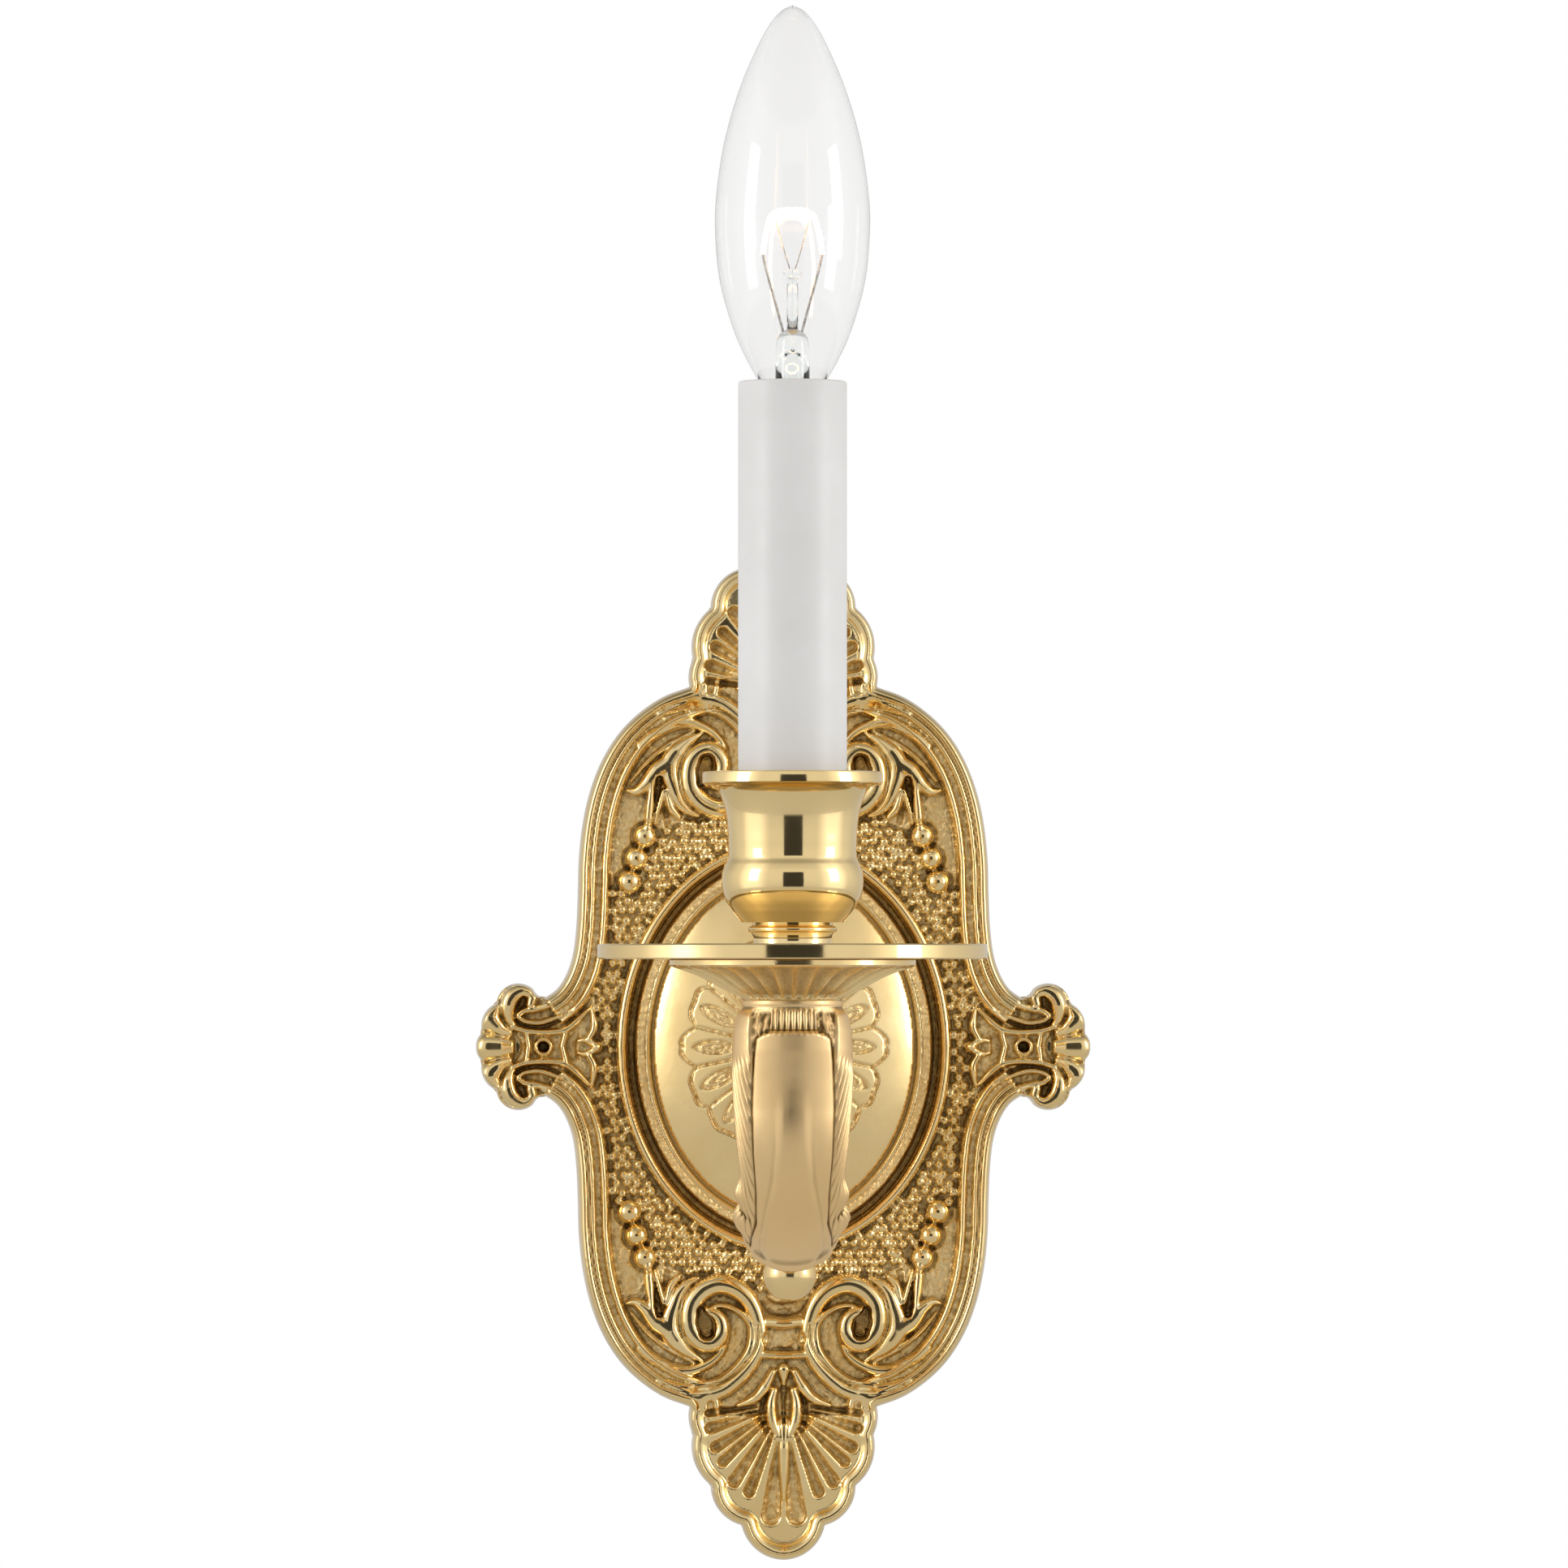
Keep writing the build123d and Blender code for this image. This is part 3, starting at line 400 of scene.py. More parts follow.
FINIAL_EDGE = [
    ((HALF_WIDTH, 0), (65.3, 1.8), (64.3, 3.0)),
    ((64.3, 3.0), (64.2, 6.3), (61.3, 9.3)),
    ((61.3, 9.3), (57.3, 13.5), (53.4, 12.3)),
    ((53.4, 12.3), (52.3, 10.9), (51.0, 10.4)),
]
BODY_EDGE = [
    (51.0, 10.4), (48.3, 12.4), (46.3, 15.6), (44.9, 20.0), (44.2, 26.0), (43.9, 33.0),
    (43.7, 40.0), (42.9, 47.5), (41.4, 54.3), (39.0, 60.7), (35.5, 66.5), (31.2, 71.0),
    (25.8, 74.7), (20.0, 76.9),
]
SHELL_EDGE = [
    ((20.0, 76.9), (20.2, 79.8), (19.3, 82.8)),
    ((19.3, 82.8), (18.9, 89.1), (15.5, 93.7)),
    ((15.5, 93.7), (13.6, 99.2), (8.9, 102.2)),
    ((8.9, 102.2), (5.6, 107.6), (0, HALF_HEIGHT)),
]
GRID = 0.27  # spacing of the relief's vertices
BACK_GRID = 1.0  # and of the back's
EDGE_STEP = 0.4  # and of the edge strip's along the outline
# on the finials, the body and the shells: how far in the edge strip comes, and how far in its rounding goes
EDGE_REACH = (0.7, 2.4, 1.7)
EDGE_ROUND = (1.3, 1.5, 1.6)


def polyline(arcs):
    """Joins arcs into one line of points."""
    return np.vstack([arc(*a) for a in arcs])


def to_line(a, b, line):
    """For points (a, b): distance to a line of points, and how far along it the nearest place is, 0 to 1."""
    best = np.full(a.shape, np.inf)
    along = np.zeros(a.shape)
    length = run_lengths(line)
    for (x0, z0), (x1, z1), s0, s1 in zip(line, line[1:], length, length[1:]):
        dx, dz = x1 - x0, z1 - z0
        t = np.clip(((a - x0) * dx + (b - z0) * dz) / max(dx * dx + dz * dz, 1e-12), 0, 1)
        d = np.hypot(a - x0 - t * dx, b - z0 - t * dz)
        closer = d < best
        best = np.where(closer, d, best)
        along = np.where(closer, s0 + t * (s1 - s0), along)
    return best, along / length[-1]


def onto_line(a, b, line):
    """The nearest points of a line to the points (a, b)."""
    length = run_lengths(line)
    _, along = to_line(a, b, line)
    return [np.interp(along * length[-1], length, column) for column in line.T]


def inside(a, b, line):
    """True where (a, b) lies in the region between the axes and the quarter's outline."""
    ring = np.vstack([[0, -1], [line[0][0], -1], line, [-1, line[-1][1]], [-1, -1]])
    odd = np.zeros(a.shape, bool)
    for (x0, z0), (x1, z1) in zip(ring, np.roll(ring, -1, axis=0)):
        crosses = (z0 > b) != (z1 > b)
        with np.errstate(divide="ignore", invalid="ignore"):
            odd ^= crosses & (a < (x1 - x0) * (b - z0) / (z1 - z0) + x0)
    return odd


# ---- back plate: relief --------------------------------------------------------------------------
GROUND = 6.0  # the plate's field above the wall
BEAD_FLOOR = 5.1
BEAD_RISE = 1.25
BEAD_PITCH = 2.15
GRAIN = 0.5  # depth of the pricked ground's grain
BEAD_OVAL = (34.6, 42.9)
DOME_OVAL = (28.4, 36.2)
BLEND = 0.25  # how widely two heights are rounded where they meet
RIB_FOOT = GROUND - 0.6
RIB_POWER = 2.6  # how square a raised rib's section is


def ramp(value, width):
    """0 below 0, 1 above the width and straight between."""
    return np.clip(value / width, 0, 1)


def hump(value, width, power=2):
    """A bell curve, 1 in its middle."""
    return np.exp(-((value / width) ** power))


def soft_max(h, other):
    """The larger of two heights, with the meeting rounded."""
    return 0.5 * (h + other + np.sqrt((h - other) ** 2 + BLEND**2)) - BLEND / 2


class Relief:
    """The height of the plate's front over one quarter of it, built up from raised and cut strokes."""

    def __init__(self, a, b, height):
        self.a, self.b, self.h = a, b, height
        self.ground = np.zeros(a.shape)

    def near(self, line, reach):
        """The grid's places within reach of a line's box."""
        low, high = line.min(axis=0) - reach, line.max(axis=0) + reach
        return np.where((self.a >= low[0]) & (self.a <= high[0]) & (self.b >= low[1]) & (self.b <= high[1]))

    def along(self, points, widths, heights):
        """Where a stroke falls, how far across it each place is (0 to 1), and its crest height there."""
        line = smooth_line(points)
        where = self.near(line, max(widths))
        d, t = to_line(self.a[where], self.b[where], line)
        width = np.interp(t, np.linspace(0, 1, len(widths)), widths)
        height = np.interp(t, np.linspace(0, 1, len(heights)), heights)
        return where, np.clip(d / width, 0, 1), height

    def rib(self, points, widths, tops):
        """A rib through the points, with half widths and crest heights spread evenly along it."""
        where, u, top = self.along(points, widths, tops)
        rib = RIB_FOOT + (top - RIB_FOOT) * (1 - u**RIB_POWER) ** (1 / RIB_POWER)
        raised = np.maximum(soft_max(self.h[where], rib), self.h[where])
        self.h[where] = np.where(u < 1, raised, self.h[where])
        self.ground[where] *= ramp(u - 0.85, 0.15)

    def groove(self, points, widths, depths):
        """A rounded groove through the points."""
        where, u, depth = self.along(points, widths, depths)
        self.h[where] -= depth * (1 - u**2) ** 1.2

    def pocket(self, points, widths, floors):
        """A pocket through the points, cut down to a floor height."""
        where, u, floor = self.along(points, widths, floors)
        wall = ramp(u - 0.6, 0.4) ** 2
        sunk = floor + (self.h[where] - floor) * wall
        self.h[where] = np.where(u < 1, np.minimum(self.h[where], sunk), self.h[where])

    def ball(self, x, z, radius, rise, moat=0.0):
        """A round berry with a narrow moat."""
        distance = np.hypot(self.a - x, self.b - z)
        if moat:
            self.h -= moat * hump(distance - radius - 0.25, 0.4)
        dome = GROUND - 0.7 + (rise + 0.7) * np.sqrt(np.clip(1 - (distance / radius) ** 2, 0, 1))
        self.h = np.where(distance < radius, np.maximum(self.h, dome), self.h)
        self.ground = np.where(distance < radius, 0, self.ground)


def oval_distance(a, b, half_width, half_height):
    """Distance outside an oval, nearly."""
    rho = np.hypot(a / half_width, b / half_height)
    slope = np.hypot(a / half_width**2, b / half_height**2) / np.maximum(rho, 1e-6)
    return (rho - 1) / np.maximum(slope, 1e-4)


def add_oval(relief):
    """The oval ring round the dome: bead, deep cove, pricked ring and inner step."""
    d = oval_distance(relief.a, relief.b, *BEAD_OVAL)
    ring = np.interp(
        d,
        [-6.9, -6.3, -5.7, -5.3, -4.9, -4.6, -3.4, -3.1, -2.6, -1.5, -1.2, -0.8, -0.2, 0.5, 1.0, 1.3],
        [5.9, 5.8, 7.1, 7.2, 6.7, 7.4, 7.4, 6.4, 4.2, 4.2, 6.6, 8.4, 9.0, 8.8, 7.8, 5.9],
    )
    relief.h = np.where((d > -6.9) & (d < 1.3), ring, relief.h)
    relief.ground = np.where((d > -6.9) & (d < 1.3), 0, relief.ground)
    relief.ground = np.where((d > -4.7) & (d < -3.2), 1.0, relief.ground)


def add_dome(relief):
    """The shallow dome the arm stands on."""
    inner = oval_distance(relief.a, relief.b, *DOME_OVAL)
    rho = np.hypot(relief.a / DOME_OVAL[0], relief.b / DOME_OVAL[1])
    dome = 6.4 + 7.4 * np.clip(1 - rho**2, 0, 1) ** 0.85
    relief.h = np.where(inner < 0, dome, relief.h)
    relief.ground = np.where(inner < 0, 0, relief.ground)


def engrave_flower(relief):
    """Petals round the arm's root: scalloped edge, a line between petals and a loop inside each."""
    turn = np.arctan2(relief.b, relief.a)
    radius = np.hypot(relief.a, relief.b * 0.93)
    petal_turn = pi / 7
    local = (turn + petal_turn / 2) % petal_turn - petal_turn / 2
    wander = 0.35 * np.sin(turn * 11 + 1) + 0.25 * np.sin(turn * 23)
    across = radius * np.sin(local) + 0.2 * wander
    lobe = np.cos(local / petal_turn * pi)
    edge = 18.9 + 2.4 * np.sqrt(np.clip(lobe, 0, 1)) + wander

    def groove(distance, width, depth):
        return depth * hump(distance, width)

    cut = groove(radius - edge, 0.33, 0.5)
    border = abs(abs(local) - petal_turn / 2) * radius
    cut = np.maximum(cut, np.where((radius > 9) & (radius < 19.3), groove(border, 0.3, 0.42), 0))
    for middle, half_length, half_width in ((15.0, 3.6, 1.35), (14.2, 2.0, 0.5)):
        loop = np.hypot((radius - middle) / half_length, across / half_width)
        cut = np.maximum(cut, groove((loop - 1) * half_width, 0.28, 0.4))
    pricked = 1 + 0.35 * np.sin(relief.a * 9.0) * np.sin(relief.b * 8.0)
    relief.h -= np.where(radius < 23, cut * pricked, 0)
    relief.ground = np.where((radius < 23) & (cut > 0.2), 0.8, relief.ground)


def add_rim(relief, depth, on_body):
    """The ridges round the body: an outer one, a thin one, a pricked channel and an inner one."""
    rim = np.interp(
        depth,
        [0, 0.7, 1.4, 2.0, 2.4, 2.55, 2.8, 3.2, 3.6, 3.85, 4.9, 5.15, 5.6, 6.0, 6.4, 6.9, 7.2],
        [8.6, 9.0, 9.3, 9.0, 8.2, 8.2, 8.9, 9.1, 8.8, 7.8, 7.8, 8.5, 8.9, 8.8, 8.1, 6.2, 5.6],
    )
    relief.h = np.where(on_body & (depth < 7.2), rim, relief.h)
    relief.ground = np.where(on_body & (depth < 7.0), 0, relief.ground)
    relief.ground = np.where(on_body & (depth > 3.75) & (depth < 5.0), 1.0, relief.ground)


STRAND_A = [
    (26.0, 73.0), (20.0, 74.6), (14.1, 73.6), (11.0, 71.8), (7.9, 68.7), (5.9, 65.4), (5.1, 62.2),
    (5.3, 59.1), (6.4, 55.7), (8.3, 52.9), (11.0, 51.1), (14.1, 50.6), (17.2, 51.9), (19.5, 54.6),
    (20.1, 57.8), (19.4, 60.9), (17.2, 63.0), (14.9, 62.9), (13.3, 60.9), (13.4, 58.4),
    (14.8, 56.8), (16.4, 56.4),
]
STRAND_B = [
    (26.6, 71.0), (20.0, 72.5), (14.8, 71.6), (11.9, 70.0), (9.2, 67.3), (7.4, 64.4), (6.9, 61.4),
    (7.2, 59.0), (8.9, 56.9), (11.6, 55.4), (14.1, 55.1), (16.8, 56.1),
]
STRAND_C = [
    (30.6, 64.2), (28.3, 66.2), (24.0, 68.5), (20.0, 69.0), (16.2, 67.6), (13.6, 65.4), (12.2, 62.6)
]


def add_volute(relief):
    """The rim's ridges leave the corner and roll up into a scroll beside the plate's middle."""
    relief.groove(
        [(18.0, 70.8), (11.6, 67.0), (9.2, 61.6), (11.2, 58.0)],
        [2.6, 2.6, 2.2, 1.4], [0.5, 0.7, 0.6, 0.3],
    )
    relief.rib(STRAND_C, [1.3, 1.4, 1.3, 1.0, 0.6], [8.8, 8.6, 8.2, 7.8, 7.6])
    relief.rib(
        STRAND_A, [1.3, 1.6, 1.8, 1.8, 1.9, 2.3, 2.3, 2.3, 2.1, 1.3],
        [9.3, 9.4, 9.5, 9.6, 9.8, 9.8, 9.7, 9.6],
    )
    relief.rib(STRAND_B, [0.95, 0.95, 0.9, 0.85, 0.75, 0.4], [9.0, 9.0, 8.9, 8.9, 8.8, 8.7])
    inside_a = [(a + 0.9 * (9.5 - a) / 12, b - 0.15 * (b - 60)) for a, b in STRAND_A[1:8]]
    relief.groove(inside_a, [0.4], [0.9])
    relief.pocket([(17.6, 56.4), (16.8, 59.0), (16.4, 60.8)], [1.0, 1.9, 1.8], [3.2, 2.6, 3.2])


def add_middle(relief):
    """What joins the two volutes: a pit under the arm's ball, a band, a groove and a bar."""
    relief.rib([(-1, 59.0), (0, 59.0), (4.0, 58.6)], [1.3, 1.3, 1.2], [8.3, 8.3, 8.8])
    relief.pocket([(-1, 62.2), (0, 62.2), (3.0, 62.2)], [2.0, 2.0, 1.7], [6.4, 6.4, 6.8])
    relief.pocket(
        [(-1, 56.2), (0, 56.2), (2.6, 55.6), (4.6, 53.6)],
        [1.7, 1.7, 1.5, 0.9], [3.2, 3.2, 3.8, 5.0],
    )
    relief.rib([(-1, 65.8), (0, 65.8), (4.4, 65.6)], [0.9, 0.9, 1.0], [8.8, 8.8, 9.1])
    relief.pocket([(-1, 64.5), (0, 64.5), (3.4, 64.4)], [0.5, 0.5, 0.4], [5.0, 5.0, 6.0])
    relief.rib([(0, 68.8), (0, 72.0)], [1.5, 0.4], [7.8, 7.6])


def add_leaf(relief):
    """Three berries on a stem that rises from a two-petalled calyx, whose tail follows the rim."""
    relief.rib(
        [
            (18.2, 49.3), (20.3, 50.3), (22.2, 52.4), (23.4, 55.4), (24.2, 58.2), (24.0, 61.0),
            (21.2, 64.4), (17.4, 66.9)
        ],
        [0.4, 1.3, 1.7, 2.1, 2.5, 2.2, 1.3, 0.4],
        [7.8, 8.4, 8.8, 9.0, 9.1, 8.9, 8.3, 7.4],
    )
    relief.rib(
        [(33.3, 54.6), (31.6, 54.4), (29.4, 55.8), (27.2, 58.2), (24.6, 60.4)],
        [0.5, 1.3, 1.9, 2.4, 2.1], [7.8, 8.6, 9.0, 9.1, 9.0],
    )
    relief.rib([(22.4, 49.0), (24.2, 51.2), (25.1, 54.6)], [0.7, 1.2, 0.6], [7.8, 8.3, 8.2])
    relief.rib([(27.4, 47.6), (26.8, 50.6), (25.6, 54.6)], [0.4, 0.8, 0.5], [7.8, 8.3, 8.2])
    relief.groove([(24.8, 47.8), (25.2, 51.0), (25.3, 53.4)], [0.9, 0.7, 0.3], [1.0, 0.9, 0.3])
    relief.rib([(29.0, 46.6), (28.6, 51.0), (28.1, 56.4)], [1.1, 1.1, 0.7], [8.3, 8.7, 8.9])
    relief.pocket([(27.5, 50.4), (27.0, 53.6), (26.5, 57.0)], [0.3, 0.65, 0.8], [5.6, 4.4, 4.6])
    relief.rib(
        [(32.6, 56.6), (29.4, 60.4), (24.8, 64.2), (19.0, 67.4)],
        [0.3, 0.6, 0.6, 0.3], [7.2, 7.6, 7.6, 7.0],
    )
    for x, z, radius in ((32.9, 35.2, 2.7), (31.4, 40.2, 2.6), (29.6, 44.9, 2.6)):
        relief.ball(x, z, radius, 2.4, moat=0.8)


SHELL_CENTRE = (0.0, 76.0)
SHELL_FLUTES = [  # angle from upright, reach, half width: two flutes run into each lobe of the lip
    (6.6, 26.6, 2.35),
    (21.5, 21.8, 1.45),
    (32.5, 21.4, 1.6),
    (46.5, 19.4, 1.35),
    (57.5, 18.8, 1.45),
    (71.5, 17.9, 1.45),
    (83.0, 17.2, 1.0),
]


def add_shell(relief, depth, on_shell):
    """A scallop shell with a lobed lip, hollows fanning from its foot, and a husk over the foot."""
    cx, cz = SHELL_CENTRE
    from_foot = np.hypot(relief.a - cx, relief.b - cz)
    crown = GROUND + (2.1 + 0.14 * (16 - from_foot)) * ramp(from_foot - 4.5, 3) * ramp(relief.b - 73.8, 1.4)
    relief.h = np.where(on_shell, np.maximum(relief.h, crown), relief.h)
    lip = GROUND + 2.7 * np.sqrt(np.clip(1 - ((depth - 1.6) / 2.0) ** 2, 0, 1))
    relief.h = np.where(on_shell & (depth < 3.6), soft_max(relief.h, lip), relief.h)
    relief.ground = np.where(on_shell, 0, relief.ground)
    for angle, reach, half_width in SHELL_FLUTES:
        step = np.array([sin(radians(angle)), cos(radians(angle))])
        line = [np.array([cx, cz]) + step * r for r in (6.0, reach * 0.6, reach - half_width * 1.1)]
        relief.groove(line, [0.4, half_width * 0.7, half_width], [1.2, 1.7, 2.0])
        where, u, _ = relief.along(line, [0.4, half_width * 0.7, half_width], [0])
        relief.ground[where] = np.maximum(relief.ground[where], np.where(u < 0.85, 0.9, 0))
    relief.rib(
        [(-0.2, 80.0), (0, 83.0), (0, 88.0), (0, 96.4)],
        [1.6, 1.6, 1.2, 0.45], [9.2, 9.3, 9.0, 8.2],
    )
    relief.rib(
        [(2.3, 69.2), (4.0, 72.4), (6.2, 74.9), (9.8, 76.4)],
        [0.9, 1.3, 1.2, 0.5], [8.8, 9.3, 9.0, 8.0],
    )
    relief.rib(
        [(2.0, 73.2), (2.7, 76.0), (2.5, 79.6), (1.0, 83.4)],
        [1.0, 1.4, 1.5, 1.0], [9.2, 9.6, 9.5, 9.2],
    )
    relief.groove([(4.4, 75.2), (4.8, 78.6), (3.2, 84.0)], [0.5, 0.6, 0.4], [0.9, 0.9, 0.6])
    relief.pocket([(0, 72.4), (0, 76.0), (0, 79.8)], [0.8, 0.5, 0.5], [4.6, 4.6, 5.2])


PIN_X = 51.2


def add_finial(relief, depth):
    """A side finial: lobes, a rolled scroll, crossed ribs round a pin hole and an inner bud."""
    wing = (relief.a > 42.5) & (relief.b < 14) & (depth > 0)
    relief.ground = np.where(wing & (relief.ground > 0), 0.8, relief.ground)
    relief.rib([(57.6, 0), (61.4, 0), (62.8, 0)], [1.7, 2.7, 3.0], [8.2, 8.9, 9.0])
    relief.rib(
        [(58.6, 3.0), (60.6, 3.9), (62.4, 6.0), (61.4, 8.4)],
        [1.1, 2.0, 2.5, 1.6], [8.0, 8.6, 8.8, 8.4],
    )
    relief.rib(
        [(57.9, 4.6), (58.8, 7.0), (58.4, 9.8), (57.0, 11.5), (55.2, 12.0), (53.6, 10.8), (53.9, 9.0)],
        [1.1, 1.5, 1.9, 1.9, 1.7, 1.4, 1.2], [7.8, 8.6, 9.0, 9.0, 8.9, 8.6, 8.7],
    )
    relief.pocket([(55.6, 10.0), (56.0, 8.8), (56.8, 7.4)], [0.6, 0.8, 0.4], [5.2, 4.8, 6.0])
    relief.groove([(60.4, 8.0), (59.6, 5.6), (58.2, 4.0)], [0.4, 0.6, 0.4], [0.5, 0.8, 0.6])
    relief.pocket([(57.6, 3.0), (56.8, 1.2), (56.8, -1)], [0.4, 0.9, 1.0], [5.2, 4.8, 4.8])
    relief.rib(
        [(50.3, 8.9), (53.2, 8.0), (55.2, 7.7), (56.5, 6.8)],
        [1.0, 0.8, 0.7, 0.7], [9.0, 8.6, 8.4, 8.4],
    )
    relief.rib(
        [(47.6, 6.6), (51.8, 5.2), (55.0, 5.4), (56.6, 6.4)],
        [0.5, 0.6, 0.6, 0.5], [8.7, 8.5, 8.4, 8.4],
    )
    relief.groove(
        [(57.2, 5.6), (54.6, 4.6), (51.6, 4.3), (48.2, 5.4), (45.0, 8.0)],
        [0.4, 0.5, 0.45, 0.4, 0.3], [0.8, 1.3, 1.3, 1.0, 0.5],
    )
    relief.rib(
        [(57.9, 4.3), (55.0, 3.4), (51.6, 3.1), (48.0, 3.3), (45.4, 4.4), (41.6, 8.0)],
        [0.6, 0.7, 0.7, 0.8, 0.8, 0.4], [8.0, 8.1, 8.0, 8.1, 8.1, 7.8],
    )
    relief.rib([(54.9, 3.2), (54.4, 0), (54.4, -1)], [0.6, 0.7, 0.7], [8.0, 7.8, 7.8])
    relief.rib([(46.4, 3.4), (47.2, 0), (47.2, -1)], [0.7, 0.7, 0.7], [8.0, 8.1, 8.1])
    relief.pocket(
        [(43.2, 3.6), (45.0, 1.8), (45.4, 0), (45.4, -1)],
        [0.3, 0.7, 1.2, 1.2], [5.8, 5.2, 4.8, 4.8],
    )
    relief.rib([(40.6, 0.8), (42.4, 1.5), (44.0, 1.2)], [0.8, 0.7, 0.3], [8.4, 8.0, 7.4])
    relief.rib([(41.5, 1.8), (40.4, 4.4), (41.0, 8.6)], [0.8, 0.9, 0.3], [8.4, 8.4, 7.6])
    relief.ball(40.0, 0, 1.5, 2.9)
    ring = np.hypot(relief.a - PIN_X, relief.b)
    boss = 6.2 + 1.5 * hump(ring - 1.6, 0.45)
    relief.h = np.where(ring < 2.3, soft_max(relief.h, boss), relief.h)
    relief.h = np.where(ring < 1.05, 1.2, relief.h)
    relief.ground = np.where(ring < 2.2, 0, relief.ground)


def beads(x, z, allowed):
    """Round beads on a shaken lattice, where allowed says so at their middles. 0 between them, 1 on top."""
    row_gap = BEAD_PITCH * 0.87
    row = np.floor(z / row_gap)
    best = np.zeros(x.shape)
    for step_z in (-1, 0, 1):
        r = row + step_z
        shift = np.where(r % 2 == 0, 0.0, 0.5)
        column = np.floor(x / BEAD_PITCH - shift)
        for step_x in (-1, 0, 1):
            c = column + step_x
            shake_x = np.sin(c * 127.1 + r * 311.7) * 43758.5453 % 1 - 0.5
            shake_z = np.sin(c * 269.5 + r * 183.3) * 43758.5453 % 1 - 0.5
            cx = (c + shift + 0.5 + 0.3 * shake_x) * BEAD_PITCH
            cz = (r + 0.5 + 0.36 * shake_z) * row_gap
            i = np.clip(np.rint(abs(cx) / GRID).astype(int), 0, allowed.shape[0] - 1)
            j = np.clip(np.rint(abs(cz) / GRID).astype(int), 0, allowed.shape[1] - 1)
            size = BEAD_PITCH * (0.49 + 0.08 * shake_x * shake_z * 4)
            d = np.hypot(x - cx, z - cz) / size
            best = np.maximum(best, np.where(allowed[i, j], np.sqrt(np.clip(1 - d**2, 0, 1)), 0))
    return best


def box_blur(h, reach):
    """Mean over a square of 2 reach + 1 vertices."""
    size = 2 * reach + 1
    for axis in (0, 1):
        padded = np.pad(h, [(reach + 1, reach) if k == axis else (0, 0) for k in (0, 1)], mode="edge")
        total = np.cumsum(padded, axis=axis)
        upper = np.take(total, range(size, total.shape[axis]), axis=axis)
        lower = np.take(total, range(0, total.shape[axis] - size), axis=axis)
        h = (upper - lower) / size
    return h


def unfold(quarter, sign_x=1, sign_z=1):
    """The whole plate's array from one quarter of it."""
    half = np.concatenate([sign_x * quarter[:0:-1], quarter], axis=0)
    return np.concatenate([sign_z * half[:, :0:-1], half], axis=1)


def read_quarter(grid, x, z):
    """A quarter array's values at any places of the plate, by straight interpolation."""
    u, v = abs(x) / GRID, abs(z) / GRID
    i = np.clip(u.astype(int), 0, grid.shape[0] - 2)
    j = np.clip(v.astype(int), 0, grid.shape[1] - 2)
    fu, fv = np.clip(u - i, 0, 1), np.clip(v - j, 0, 1)
    low = grid[i, j] * (1 - fv) + grid[i, j + 1] * fv
    high = grid[i + 1, j] * (1 - fv) + grid[i + 1, j + 1] * fv
    return low * (1 - fu) + high * fu


def rounded_edge(depth, reach):
    """Height of the plate's rounded edge at a depth in from its outline."""
    u = np.clip(depth / reach, 0, 1)
    return 0.15 + 9.2 * (1 - (1 - u) ** 2.3) ** (1 / 2.3)


def quarter_edge():
    """One quarter's outline, and the numbers of its points where the body and the shell start."""
    finial, body, shell = polyline(FINIAL_EDGE), smooth_line(BODY_EDGE, 6), polyline(SHELL_EDGE)
    return np.vstack([finial, body, shell]), len(finial), len(finial) + len(body)


def quarter_grid(step):
    """The places (a, b) of a grid over one quarter of the plate."""
    across, upward = np.arange(0, HALF_WIDTH + step, step), np.arange(0, HALF_HEIGHT + step, step)
    return np.meshgrid(across, upward, indexing="ij")


def shape_quarter(a, b, depth, nearest):
    """The relief over one quarter, and where its field is beaded."""
    on_body, on_shell = nearest == 1, (nearest == 2) & (b > 74)
    relief = Relief(a, b, np.full(a.shape, GROUND - 0.2))
    relief.ground += 0.8
    add_dome(relief)
    engrave_flower(relief)
    add_oval(relief)
    add_rim(relief, depth, on_body)
    field = (oval_distance(a, b, *BEAD_OVAL) > 1.0) & (relief.h < GROUND) & (depth > 0) & ~on_shell
    add_shell(relief, depth, on_shell)
    add_volute(relief)
    add_middle(relief)
    add_leaf(relief)
    add_finial(relief, depth)

    meeting = hump(np.hypot(a - 18.6, b - 74.4), 3.2, 4)
    relief.h += meeting * (box_blur(relief.h, 4) - relief.h)
    berry_line = np.interp(b, [0, 33, 35, 46, 48, 52], [50, 50, 30.6, 27.6, 22.0, 18.0])
    beaded = field & (relief.h < GROUND + 0.1) & (a < berry_line) & (a < 40.5) & (b < 53)
    floor = box_blur(np.where(beaded, BEAD_FLOOR, relief.h), 1)
    relief.h = np.where(beaded, np.minimum(relief.h, floor), relief.h)
    round_by = np.array(EDGE_ROUND)[nearest]
    relief.h = np.where(depth < round_by, np.minimum(relief.h, rounded_edge(depth, round_by)), relief.h)
    return relief, beaded


